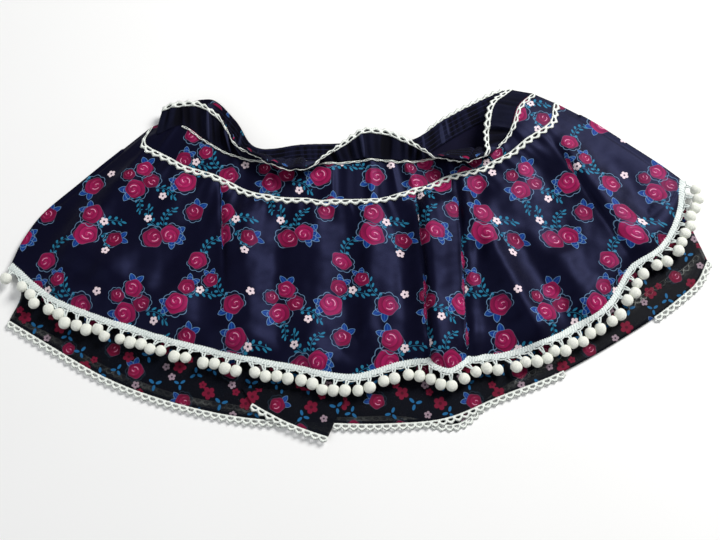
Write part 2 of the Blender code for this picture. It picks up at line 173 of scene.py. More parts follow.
TIER_HEM = [
    Tier("left corner", -343, -55, -339, -50),
    Tier("left end", -301, -80, -302, -68),
    Tier("left panel", -238, -115, -240, -103),
    Tier("left middle", -173, -138, -174, -128),
    Tier("centre left", -112, -151, -116, -139),
    Tier("centre", -40, -156, -40, -150),
    Tier("centre right", 30, -157, 40, -150),
    Tier("peeping edge", 80, -152, 94, -156),
    Tier("right middle", 132, -131, 124, -130),
    Tier("right panel", 190, -108, 184, -93),
    Tier("right run", 252, -74, 242, -54),
    Tier("right end", 313, -33, 304, -10),
    Tier("right turn", 335, -14, 324, 2),
    Tier("right corner", 348, 9, 338, 16),
]
OVERLAP = {
    "top left": (-113, -122),
    "top right": (-12, -127),
    "hem left": (-102, -138),
    "hem right": (-30, -170),
}
TUCKED_FROM, TUCKED_TO = 0.735, 0.865
PlanRow = namedtuple("PlanRow", "name zone along pile")
PLAN = [
    PlanRow("yoke seam", "cloth", 0.0, 1.5),
    PlanRow("upper cloth", "cloth", 0.25, 1.5),
    PlanRow("middle cloth", "cloth", 0.5, 1.5),
    PlanRow("lower cloth", "cloth", 0.74, 2.0),
    PlanRow("above back hem", "cloth", 0.92, 4.0),
    PlanRow("back hem", "cloth", 1.0, 5.5),
    PlanRow("back stems", "trim", 0.30, 8.5),
    PlanRow("back pompoms", "trim", 0.56, 8.5),
    PlanRow("front hem", "trim", 1.0, 1.5),
    PlanRow("beyond the hem", "tier", 0.28, 0.0),
    PlanRow("tier hem", "tier", 1.0, 0.0),
]
BACK_HEM = 5
FRONT_HEM = 8
TIER_ROWS = [1, 4, 5, 6, 7, 8, 9, 10]
Fold = namedtuple("Fold", "name x0 y0 x1 y1 half height")
FOLDS = [
    Fold("left wave", -228, 104, -306, 10, 15, 3.5),
    Fold("left sweep", -172, 90, -262, -35, 20, 4.5),
    Fold("left hollow", -160, 84, -200, -60, 18, -3.0),
    Fold("left swell", -290, 20, -160, -50, 17, 5.0),
    Fold("left ridge", -120, 75, -104, -92, 21, 7.0),
    Fold("centre left", -84, 70, -80, -96, 13, -3.0),
    Fold("centre roll", -44, 68, -46, -100, 15, 3.5),
    Fold("centre trough", -14, 70, -12, -100, 12, -3.0),
    Fold("soft ridge", 8, 70, 8, -90, 10, 3.0),
    Fold("centre trough", 40, 70, 44, -90, 12, -4.0),
    Fold("pleat", 72, 92, 80, -104, 19, 12.0),
    Fold("right trough", 120, 90, 120, 10, 9, -5.0),
    Fold("right ridge", 106, 76, 178, -88, 14, 11.5),
    Fold("ridge foot", 158, 36, 206, -66, 12, -4.0),
    Fold("right hollow", 182, 126, 206, 20, 17, -4.5),
    Fold("right panel", 196, 20, 226, -50, 14, 4.5),
    Fold("side fold", 216, 128, 286, 14, 15, 6.5),
    Fold("side hollow", 262, 126, 300, 50, 14, -3.0),
]
# Where cloth is tucked away in a crease, so that the print is cut there: a line from
# (x0, y0) to (x1, y1) and the width of cloth that is hidden at its upper end.
Crease = namedtuple("Crease", "name x0 y0 x1 y1 hidden")
CREASES = [
    Crease("left crease", -143, 92, -134, -10, 17),
    Crease("pleat left", 57, 84, 75, -266, 22),
    Crease("pleat right", 99, 96, 109, -290, 19),
    Crease("side crease", 203, 134, 262, 20, 13),
]


def smooth(share):
    """An even step from 0 to 1 with level ends."""
    share = np.clip(share, 0.0, 1.0)
    return share * share * (3 - 2 * share)


def lengths(points):
    """Each point's distance along the line, as a share of the whole."""
    steps = np.linalg.norm(np.diff(points[:, :2], axis=0), axis=1)
    far = np.concatenate([[0.0], np.cumsum(steps)])
    return far / far[-1]


def through(points, knots, shares):
    """A smooth curve through the points, read at the given shares."""
    points = np.asarray(points, dtype=float)
    shares = np.asarray(shares, dtype=float)
    slopes = np.gradient(points, knots, axis=0)
    i = np.clip(np.searchsorted(knots, shares) - 1, 0, len(knots) - 2)
    wide = (len(shares),) + (1,) * (points.ndim - 1)
    step = (knots[i + 1] - knots[i]).reshape(wide)
    t = (shares - knots[i]).reshape(wide) / step
    start = (2 * t**3 - 3 * t**2 + 1) * points[i] + (t**3 - 2 * t**2 + t) * step * slopes[i]
    end = (3 * t**2 - 2 * t**3) * points[i + 1] + (t**3 - t**2) * step * slopes[i + 1]
    return start + end


def columns_of(rows, *columns):
    """The named columns of a table as an array of points."""
    return np.array([[getattr(row, column) for column in columns] for row in rows], float)


def flat_curve(points, shares):
    """A smooth curve in the plane through the points, by length."""
    points = np.asarray(points, dtype=float)
    return through(points, lengths(points), shares)


def inner(shares):
    """1 away from the two side ends, falling smoothly to 0 at them."""
    return (smooth(shares / CORNER_SHARE) * smooth((1 - shares) / CORNER_SHARE))[:, None]


def seam_rows(rows, flat, shares):
    """The waist edge and the two seams as three lines of points."""
    knots = lengths(columns_of(rows, "yoke_x", "yoke_y"))
    names = ("x", "y") if flat else ("x", "y", "z")
    lines = []
    for seam in ("waist", "band", "yoke"):
        points = columns_of(rows, *[f"{seam}_{name}" for name in names])
        lines.append(through(points, knots, shares))
    return lines


def flounce_plan(top, share_down, shares):
    """Points of the flounce's plan at a share of its length, one share for each column."""
    hem = flat_curve(columns_of(FLOUNCE_HEM, "x", "y"), shares)
    down = np.ravel(share_down)
    straight = top + (hem - top) * down[:, None]
    left = flat_curve(LEFT_EDGE, down) - (top[0] + (hem[0] - top[0]) * down[:, None])
    right = flat_curve(RIGHT_EDGE, down) - (top[-1] + (hem[-1] - top[-1]) * down[:, None])
    across = shares[:, None]
    return straight + left * (1 - across) ** 2 + right * across**2


def tier_plan(side, along, shares):
    """Points of the under-tier's plan beyond the flounce hem, corner to corner."""
    hem = flat_curve(columns_of(FLOUNCE_HEM, "x", "y"), shares)
    inside = np.clip((shares * CAD_COLUMNS - 1) / (CAD_COLUMNS - 2), 0.0, 1.0)
    edge = flat_curve(columns_of(TIER_HEM, f"{side}_x", f"{side}_y"), inside)
    return hem + (edge - hem) * along


def plan_rows(top, side, shares):
    """The plan of every layer: for each row of PLAN, its points and its pile."""
    ends = inner(shares)
    back_hem = 1 - HEM_SETBACK * (CORNER_SETBACK + (1 - CORNER_SETBACK) * ends[:, 0])
    rows = []
    for row in PLAN:
        if row.zone == "cloth":
            points = flounce_plan(top, row.along * back_hem, shares)
        elif row.zone == "trim":
            points = flounce_plan(top, back_hem + row.along * (1 - back_hem), shares)
        else:
            points = tier_plan(side, row.along, shares)
        level = min(row.pile, THIN_PILE)
        pile = level + (row.pile - level) * SOFT_PILE * ends
        rows.append(np.hstack([points, pile]))
    return np.array(rows)


def beside(points, line):
    """How far each point is along a line, as a share of it, and how far it is to its side."""
    start = np.array([line.x0, line.y0], float)
    run = np.array([line.x1, line.y1], float) - start
    length = np.linalg.norm(run)
    away = points[..., :2] - start
    along = away @ run / length**2
    across = (away[..., 1] * run[0] - away[..., 0] * run[1]) / length
    return along, across


def ridge(points, fold):
    """How far one fold lifts the cloth at each point."""
    along, across = beside(points, fold)
    ends = smooth((along + 0.1) / 0.25) * smooth((1.15 - along) / 0.3)
    return fold.height * ends * np.exp(-((across / fold.half) ** 2))


def outward(rows, ends):
    """Unit normals of a grid of points, on the side that shows."""
    down = np.gradient(rows, axis=0)
    right = np.gradient(rows, axis=1)
    normals = np.cross(down, right)
    normals /= np.linalg.norm(normals, axis=2, keepdims=True)
    normals = normals * ends + np.array([0.0, 0.0, 1.0]) * (1 - ends)
    return normals / np.linalg.norm(normals, axis=2, keepdims=True)


def densely(rows, count):
    """More rows, on smooth curves through the given ones, spaced by their mean length."""
    steps = np.linalg.norm(np.diff(rows, axis=0), axis=2).mean(axis=1)
    knots = np.concatenate([[0.0], np.cumsum(steps)])
    return through(rows, knots, np.linspace(0.0, knots[-1], count))


class Waves:
    """Soft random waves along a line, the same on every run."""

    def __init__(self, seed, pitch, length):
        self.pitch = pitch
        self.values = np.random.default_rng(seed).uniform(-1, 1, int(length / pitch) + 4)

    def at(self, distance):
        """The wave's height, from -1 to 1, at each distance."""
        place = np.clip(np.asarray(distance) / self.pitch, 0, len(self.values) - 2.001)
        i = place.astype(int)
        blend = smooth(place - i)
        return self.values[i] * (1 - blend) + self.values[i + 1] * blend


def distances(line):
    """Each point's distance along a line, in millimetres."""
    steps = np.linalg.norm(np.diff(line, axis=0), axis=1)
    return np.concatenate([[0.0], np.cumsum(steps)])


def creased(points):
    """How much cloth the creases hide to the left of each point."""
    total = np.zeros(points.shape[:-1])
    for crease in CREASES:
        along, across = beside(points, crease)
        fade = smooth((1.3 - along) / 0.8)
        total += crease.hidden * fade * smooth((across + 1.5) / 3.0)
    return total


# ----------------------------------------
# Meshes


def place(points):
    """Millimetres on the pattern table to metres in the row's frame."""
    return (np.asarray(points) - np.array([0.0, MIDDLE_Y, 0.0])) * MM


def mesh_object(name, points, faces, materials, maps=None):
    """A mesh object from points in millimetres, with its UV maps given point by point."""
    mesh = bpy.data.meshes.new(name)
    mesh.from_pydata(place(points).tolist(), [], [tuple(face) for face in faces])
    corners = np.empty(len(mesh.loops), np.int32)
    mesh.loops.foreach_get("vertex_index", corners)
    for layer, values in (maps or {}).items():
        made = mesh.uv_layers.new(name=layer)
        made.data.foreach_set("uv", np.asarray(values, np.float32)[corners].ravel())
    for material in materials:
        mesh.materials.append(material)
    mesh.shade_smooth()
    made = bpy.data.objects.new(name, mesh)
    bpy.context.collection.objects.link(made)
    return made


def grid_faces(deep, wide):
    """Quads of a grid of points, turned to face the side that shows."""
    number = np.arange(deep * wide).reshape(deep, wide)
    quads = [number[:-1, :-1], number[1:, :-1], number[1:, 1:], number[:-1, 1:]]
    return np.stack([corner.ravel() for corner in quads], axis=1)


def with_modifier(made, kind, **settings):
    """Adds a modifier and applies it."""
    bpy.ops.object.select_all(action="DESELECT")
    bpy.context.view_layer.objects.active = made
    made.select_set(True)
    modifier = made.modifiers.new(kind.title(), kind)
    for name, value in settings.items():
        setattr(modifier, name, value)
    bpy.ops.object.modifier_apply(modifier=modifier.name)
    made.select_set(False)


def cloth(name, rows, maps, wall, materials):
    """A sheet of cloth with a thickness, from the grid of points of its outer face."""
    deep, wide = rows.shape[:2]
    flat_maps = {layer: values.reshape(-1, 2) for layer, values in maps.items()}
    made = mesh_object(name, rows.reshape(-1, 3), grid_faces(deep, wide), materials, flat_maps)
    with_modifier(
        made,
        "SOLIDIFY",
        thickness=wall * MM,
        offset=-1.0,
        use_even_offset=False,
        material_offset=1 if len(materials) > 1 else 0,
    )
    return made


def hand_over(made, node):
    """Lets a finished piece ride on the part and stand for its plain solid."""
    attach(made, "root")
    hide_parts(node)


def sheet_piece(node, rows, maps, wall, finishes):
    """One panel of cloth with its thickness, handed over to its part."""
    made = cloth(f"{node}_cloth", rows, maps, wall, finishes)
    hand_over(made, node)


# ----------------------------------------
# The skirt's surfaces


def front_lines(shares):
    """The front's waist edge, band seam and yoke seam."""
    return seam_rows(FRONT_SECTIONS, False, shares)


def bowed(start, end, bulge, count, ends):
    """Rows between two seams, bulging a little in the middle."""
    rows = []
    for share in np.linspace(0.0, 1.0, count):
        row = start + (end - start) * share
        row[:, 2] += bulge * np.sin(np.pi * share) * ends[:, 0]
        rows.append(row)
    return np.array(rows)


def band_front_rows(columns, count):
    """The front band's outer face, drawn up by its elastic into upright gathers."""
    rows, ends = band_front_plain(columns, count)
    return gathered(rows, ends, seed=3, pitch=4.6, height=size("gathers"), edge=0.45)


def band_front_plain(columns, count):
    """The front band before it is gathered, and how far each column is from its ends."""
    shares = np.linspace(0.0, 1.0, columns)
    waist, band, _ = front_lines(shares)
    ends = inner(shares)
    return bowed(waist, band, BAND_BULGE, count, ends), ends


def gathered(rows, ends, seed, pitch, height, edge):
    """Upright gathers across a band; edge is their share left at its two long edges."""
    along = distances(rows[len(rows) // 2])
    down = np.linspace(0.0, 1.0, len(rows))[:, None]
    fine = Waves(seed, pitch, along[-1])
    coarse = Waves(seed + 1, pitch * 2.6, along[-1])
    lean = Waves(seed + 2, 30.0, along[-1]).at(along)[None, :] * 3.0
    place_along = along[None, :] + lean * (down - 0.5)
    wave = 0.55 * fine.at(place_along) + 0.45 * coarse.at(place_along + 4.0 * down)
    fade = edge + (1 - edge) * np.sin(np.pi * down) ** 0.6
    # narrow crests and wider hollows, as where elastic draws a cloth up
    tucks = 1.6 * np.exp(-(((1.0 - wave) / 0.75) ** 2)) - 0.6 + 0.35 * wave
    lift = height * tucks * fade * (0.25 + 0.75 * ends[:, 0])[None, :]
    return rows + outward(rows, ends) * lift[..., None]


def gather_map(rows, plain, ends):
    """How far a gathered cloth stands out from where it lay, from 0 to 1."""
    out = ((rows - plain) * outward(plain, ends)).sum(axis=2)
    low, high = np.percentile(out, (3, 97))
    share = np.clip((out - low) / (high - low), 0.0, 1.0)
    return np.stack([share, share], axis=-1)


def yoke_front_rows(columns, count):
    """The front yoke's outer face, with light gathers under the elastic."""
    shares = np.linspace(0.0, 1.0, columns)
    _, band, yoke = front_lines(shares)
    ends = inner(shares)
    rows = bowed(band, yoke, YOKE_BULGE, count, ends)
    drawn_up = gathered(rows, ends, seed=11, pitch=8.0, height=2.5, edge=0.6)
    # the gathers are deepest right of the middle
    share = 0.6 + 1.2 * np.exp(-(((rows[..., :1] - DEEPEST_X) / DEEPEST_HALF) ** 2))
    return rows + (drawn_up - rows) * share


@lru_cache
def flounce_front_rows():
    """The front flounce's outer face: folds, gathers under the yoke and a lively hem."""
    shares = np.linspace(0.0, 1.0, FLOUNCE_COLUMNS)
    yoke = front_lines(shares)[2]
    ends = inner(shares)
    plan = plan_rows(yoke[:, :2], "front", shares)
    over_tiers = 2 * CAD_SHEER_WALL + CAD_TIER_GAP + GAP + CAD_CLOTH_WALL
    rows = [yoke]
    for index in range(1, FRONT_HEM + 1):
        row = plan[index].copy()
        lift = row[:, 2] + over_tiers
        puff = SEAM_PUFF * (1 - index / FRONT_HEM) + HEM_PUFF
        edge = smooth(shares / EDGE_SHARE) * smooth((1 - shares) / EDGE_SHARE)
        low = 2 * CAD_CLOTH_WALL + GAP
        row[:, 2] = low + (lift - low) * edge + puff * ends[:, 0]
        rows.append(row)
    rows = densely(np.array(rows), FLOUNCE_ROWS)
    folds = sum(ridge(rows, fold) for fold in FOLDS)
    from_seam = np.linspace(0.0, 6.0, FLOUNCE_ROWS)[:, None]
    rows[..., 2] += folds * smooth(from_seam) * ends[:, 0]
    rows = flounce_folds(rows, ends, seed=21)
    return clear_of(rows, tier_rows("front"), SATIN_WALL + GAP + 0.5)


# How far down the gathers below the yoke seam reach, how many of each there are, and the
# rumples of the satin: their height, their seed's number and their pitch
Gathers = namedtuple("Gathers", "reach odds")
FAN = [Gathers(18.0, 0.25), Gathers(32.0, 0.30), Gathers(60.0, 0.27), Gathers(110.0, 0.18)]
Rumple = namedtuple("Rumple", "height number pitch")
RUMPLES = [Rumple(0.78, 5, 58.0), Rumple(0.42, 6, 25.0), Rumple(0.15, 7, 11.0)]


def flounce_folds(rows, ends, seed):
    """Adds soft flutes, the gathers that fan out below the yoke seam and the creases."""
    rng = np.random.default_rng(seed)
    top = distances(rows[0])
    down = np.cumsum(np.linalg.norm(np.diff(rows, axis=0, prepend=rows[:1]), axis=2), axis=0)
    share_down = down / down[-1]
    flutes = Waves(seed + 1, 17.0, top[-1] + 90.0)
    across = top[None, :] + 45.0 + 9.0 * np.sin(down / 47.0)
    lift = flutes.at(across) * (0.6 + 2.0 * smooth(share_down))
    spot = 6.0
    while spot < top[-1]:
        half = rng.uniform(2.4, 5.5)
        reach = rng.choice([each.reach for each in FAN], p=[each.odds for each in FAN])
        height = rng.uniform(0.5, 1.0) * half * 0.46
        spread = 1.0 + down / 80.0
        lean = rng.uniform(-0.10, 0.10) * down
        across = (top[None, :] - spot + lean) / (half * spread)
        fade = np.exp(-((down / reach) ** 1.5)) * smooth(down / 5.0 + 0.35)
        lift += height * fade * np.exp(-(across**2))
        spot += rng.uniform(7.0, 15.0)
    # each crease is a narrow groove with a soft roll beside it
    for crease in CREASES:
        along, across = beside(rows, crease)
        fade = smooth((along + 0.15) / 0.2) * smooth((1.3 - along) / 0.6)
        lift -= 0.10 * crease.hidden * fade * np.exp(-((across / 2.6) ** 2))
        lift += 0.10 * crease.hidden * fade * np.exp(-(((across - 8.0) / 5.5) ** 2))
    for each in RUMPLES:
        lift += each.height * rumple(rows, seed + each.number, each.pitch)
    lift *= (0.10 + 0.90 * ends[:, 0])[None, :]
    return rows + outward(rows, ends) * lift[..., None]


def nearest(rows, spots):
    """For each point of a grid, the number of the nearest spot in plan and how far it is."""
    tree = KDTree(len(spots))
    for number, spot in enumerate(spots):
        tree.insert((spot[0], spot[1], 0.0), number)
    tree.balance()
    found = [tree.find((spot[0], spot[1], 0.0)) for spot in rows.reshape(-1, 3)]
    numbers = np.array([each[1] for each in found]).reshape(rows.shape[:2])
    return numbers, np.array([each[2] for each in found]).reshape(rows.shape[:2])


def clear_of(rows, below, gap):
    """Lifts a sheet wherever it would come too near the sheet that it lies on."""
    spots = below.reshape(-1, 3)
    numbers, away = nearest(rows, spots)
    floor = np.where(away < REACH_BELOW, spots[numbers, 2] + gap, 0.0)
    lifted = rows.copy()
    lifted[..., 2] = np.maximum(rows[..., 2], floor)
    return lifted


def rumple(rows, seed, pitch):
    """Soft creases in all directions, from -1 to 1."""
    rng = np.random.default_rng(seed)
    total = np.zeros(rows.shape[:2])
    for _ in range(7):
        turn = rng.uniform(0.0, np.pi)
        push = rng.uniform(0.0, 60.0)
        long = pitch * rng.uniform(0.7, 1.6)
        wander = 0.35 * pitch * np.sin(rows[..., 0] / (pitch * 2.3) + push)
        way = rows[..., 0] * np.cos(turn) + (rows[..., 1] + wander) * np.sin(turn)
        total += np.sin(way * TURN / long + push)
    return total / 4.0


@lru_cache
def tier_rows(side):
    """The upper face of one side of the sheer under-tier."""
    shares = np.linspace(1 / CAD_COLUMNS, 1 - 1 / CAD_COLUMNS, TIER_COLUMNS)
    yoke = front_lines(shares)[2]
    plan = plan_rows(yoke[:, :2], side, shares)[TIER_ROWS]
    layer = 0.0 if side == "back" else SHEER_WALL + TIER_STEP
    plan[..., 2] += layer + SHEER_WALL + TIER_REST
    rows = densely(plan, TIER_ROW_COUNT)
    floor = layer + SHEER_WALL + TIER_LEAST
    swell = 0.30 * rumple(rows, 31, 46.0)
    rows[..., 2] = np.maximum(rows[..., 2] + swell, floor)
    return rows


def back_rows(upper, lower, columns, count, level):
    """A flat back panel between two seams, each named on the section table."""
    shares = np.linspace(0.0, 1.0, columns)
    lines = dict(zip(("waist", "band", "yoke"), seam_rows(BACK_SECTIONS, True, shares)))
    start, end = lines[upper], lines[lower]
    rows = []
    for share in np.linspace(0.0, 1.0, count):
        row = start + (end - start) * share
        rows.append(np.hstack([row, np.full((columns, 1), level)]))
    return np.array(rows)


def flounce_back_rows(columns, count):
    """The back flounce, flat on the surface below the layers."""
    shares = np.linspace(0.0, 1.0, columns)
    top = seam_rows(BACK_SECTIONS, True, shares)[2]
    front_yoke = front_lines(shares)[2]
    plan = plan_rows(front_yoke[:, :2], "back", shares)
    lines = [top] + [plan[index][:, :2] for index in (1, 2, 3, 4, BACK_HEM)]
    rows = []
    for index, line in enumerate(lines):
        level = BACK_FLOUNCE_LEVEL + (BACK_SEAM_LIFT if index == 0 else 0.0)
        rows.append(np.hstack([line, np.full((columns, 1), level)]))
    return densely(np.array(rows), count)


# ----------------------------------------
# Lines on the surfaces, for what is sewn along them


def line_on(rows, distance, from_last=False):
    """A line at a distance in from the first (or last) row, or proud of it if below 0."""
    if from_last:
        rows = rows[::-1]
    down = np.cumsum(np.linalg.norm(np.diff(rows, axis=0, prepend=rows[:1]), axis=2), axis=0)
    room = np.minimum(1.0, down[-1] / ROOMY)
    wanted = distance * room
    if distance < 0:
        reach = max(2, len(rows) // 5)
        way = rows[0] - rows[reach]
        way /= np.linalg.norm(way, axis=1, keepdims=True)
        return rows[0] - way * wanted[:, None]
    line = np.empty_like(rows[0])
    for column in range(rows.shape[1]):
        for axis in range(3):
            line[column, axis] = np.interp(wanted[column], down[:, column], rows[:, column, axis])
    return line


def beyond(hem, distance, most_left=1.0):
    """A hem line moved outwards in the plane, leaning no further left than most_left."""
    run = np.gradient(hem[:, :2], axis=0)
    out = np.stack([np.maximum(run[:, 1], -most_left * np.abs(run[:, 0])), -run[:, 0]], axis=1)
    out /= np.linalg.norm(out, axis=1, keepdims=True)
    moved = hem.copy()
    moved[:, :2] += out * distance
    return moved


def evenly(lines, spacing):
    """Lines that run side by side, re-cut at even distances along the middle one."""
    lines = np.asarray(lines)
    along = distances(lines[len(lines) // 2])
    count = max(2, int(round(along[-1] / spacing)) + 1)
    wanted = np.linspace(0.0, along[-1], count)
    return np.array([read_at(wanted, along, line) for line in lines]), wanted


def read_at(wanted, along, line):
    """The points of a line at the wanted distances along it."""
    return np.stack([np.interp(wanted, along, line[:, axis]) for axis in range(3)], axis=1)


def softened(line, times):
    """A line with its smallest wiggles rubbed out."""
    for _ in range(times):
        line = line.copy()
        line[1:-1] = (line[:-2] + 2 * line[1:-1] + line[2:]) / 4
    return line


# One repeat of the crochet edging: its outline, the slit in its heading and how high the
# cord stands at each point of the outline.  u runs along the edging and v across it, both as
# shares of the repeat and the width.
Stitch = namedtuple("Stitch", "u v high hole_u hole_v")
EDGING = [
    Stitch(0.00, 0.38, 0.90, 0.20, 0.38),
    Stitch(0.00, 0.00, 0.25, 0.25, 0.32),
    Stitch(0.25, 0.02, 0.20, 0.37, 0.30),
    Stitch(0.50, 0.00, 0.25, 0.50, 0.29),
    Stitch(0.75, 0.02, 0.20, 0.63, 0.30),
    Stitch(1.00, 0.00, 0.25, 0.75, 0.32),
    Stitch(1.00, 0.38, 0.90, 0.80, 0.38),
    Stitch(1.00, 0.70, 0.30, 0.74, 0.45),
    Stitch(0.85, 0.75, 0.25, 0.66, 0.49),
    Stitch(0.69, 0.89, 0.25, 0.58, 0.51),
    Stitch(0.50, 1.00, 0.25, 0.49, 0.52),
    Stitch(0.33, 0.91, 0.25, 0.41, 0.51),
    Stitch(0.16, 0.75, 0.25, 0.33, 0.49),
    Stitch(0.00, 0.70, 0.30, 0.26, 0.45),
]
# Neighbouring repeats meet at these two points, and the cord's underside there is at MEETING_V
MEETING = (0, 6)
MEETING_V = 0.40
# How high the slit's rim stands, how far a point may be out of place, how wide the strip is
# on its own map, and how near doubles are, in metres
RIM_HIGH = 0.25
WOBBLE = 0.018
EDGING_WIDTH = 9.0
DOUBLES = 0.00002
CORD_SIDES = 5


def wavering(lines, seed, pitch, height):
    """The same lines, drawn a little up and down across the cloth by the gathers."""
    along = distances(lines[0])
    way = lines[-1] - lines[0]
    way = way / np.maximum(np.linalg.norm(way, axis=1, keepdims=True), 1.0)
    waves = Waves(seed, pitch, along[-1]).at(along)
    return [line + way * (height * waves)[:, None] for line in lines]


def edging(node, lines, normals, pitch, seed, thick=0.9):
    """One crochet edging, laid along a strip: lines run from its heading to its tips."""
    lines, along = evenly(np.concatenate([lines, [normals]]), 1.5)
    lines, normals = lines[:-1], lines[-1]
    repeats = max(1, int(round(along[-1] / pitch)))
    step = along[-1] / repeats
    rng = np.random.default_rng(seed)
    loop = np.array([(s.u, s.v, s.high) for s in EDGING])
    hole = np.array([(s.hole_u, s.hole_v, RIM_HIGH) for s in EDGING])
    middle = (loop + hole) / 2
    middle[:, 2] = 1.0
    under = np.array([(0.0, MEETING_V, 0.0), (1.0, MEETING_V, 0.0)])
    cell = np.concatenate([loop, middle, hole, under])
    count = len(loop)
    low = {MEETING[0]: 3 * count, MEETING[1]: 3 * count + 1}
    faces = []
    for here in range(count):
        there = (here + 1) % count
        faces.append([here, there, count + there, count + here])
        faces.append([count + here, count + there, 2 * count + there, 2 * count + here])
        below = [low.get(there, there), low.get(here, here)]
        faces.append([*below, 2 * count + here, 2 * count + there])
    points = []
    quads = []
    maps = []
    for repeat in range(repeats):
        shape = cell.copy()
        inner_points = (shape[:, 0] > 0.05) & (shape[:, 0] < 0.95)
        shape[inner_points, :2] += rng.uniform(-WOBBLE, WOBBLE, (inner_points.sum(), 2))
        u = (repeat + shape[:, 0]) * step
        across = shape[:, 1] * (len(lines) - 1)
        row = np.clip(across.astype(int), 0, len(lines) - 2)
        blend = (across - row)[:, None]
        table = np.array([read_at(u, along, line) for line in lines])
        order = np.arange(len(shape))
        spot = table[row, order] * (1 - blend) + table[row + 1, order] * blend
        way = read_at(u, along, normals)
        way /= np.linalg.norm(way, axis=1, keepdims=True)
        spot += way * (LACE_PROUD + thick * shape[:, 2:])
        quads += (np.array(faces) + len(cell) * repeat).tolist()
        points.append(spot)
        maps.append(np.stack([u, shape[:, 1] * EDGING_WIDTH], axis=1) * MM)
    maps = {"Cut": np.concatenate(maps)}
    points = np.concatenate(points)
    made = mesh_object(f"{node}_thread", points, quads, [MATERIALS["lace"]], maps)
    with_modifier(made, "WELD", merge_threshold=DOUBLES)
    hand_over(made, node)


def tube(path, radius):
    """Points and quads of a closed round cord along a path."""
    path = np.asarray(path, float)
    way = np.gradient(path, axis=0)
    way /= np.linalg.norm(way, axis=1, keepdims=True)
    up = np.tile([0.0, 0.0, 1.0], (len(path), 1))
    side = np.cross(way, up)
    reach = np.linalg.norm(side, axis=1, keepdims=True)
    side = np.where(reach < 1e-6, [1.0, 0.0, 0.0], side / np.maximum(reach, 1e-6))
    up = np.cross(side, way)
    sides = CORD_SIDES
    turns = np.linspace(0.0, TURN, sides, endpoint=False)
    rings = [path + radius * (np.cos(turn) * side + np.sin(turn) * up) for turn in turns]
    points = np.stack(rings, axis=1).reshape(-1, 3)
    quads = []
    for i in range(len(path) - 1):
        for j in range(sides):
            k = (j + 1) % sides
            quads.append([i * sides + j, i * sides + k, (i + 1) * sides + k, (i + 1) * sides + j])
    first = list(range(sides))
    last = [(len(path) - 1) * sides + j for j in range(sides)]
    quads.append(first[::-1])
    quads.append(last)
    return points, quads


class Heap:
    """Collects many small shapes into one mesh."""

    def __init__(self):
        self.points = []
        self.faces = []
        self.count = 0

    def add(self, points, faces):
        """Adds one shape."""
        self.points.append(np.asarray(points, float))
        self.faces += [[corner + self.count for corner in face] for face in faces]
        self.count += len(points)

    def made(self, name, material):
        """All the shapes as one object."""
        return mesh_object(name, np.concatenate(self.points), self.faces, [material])


# ----------------------------------------
# Materials


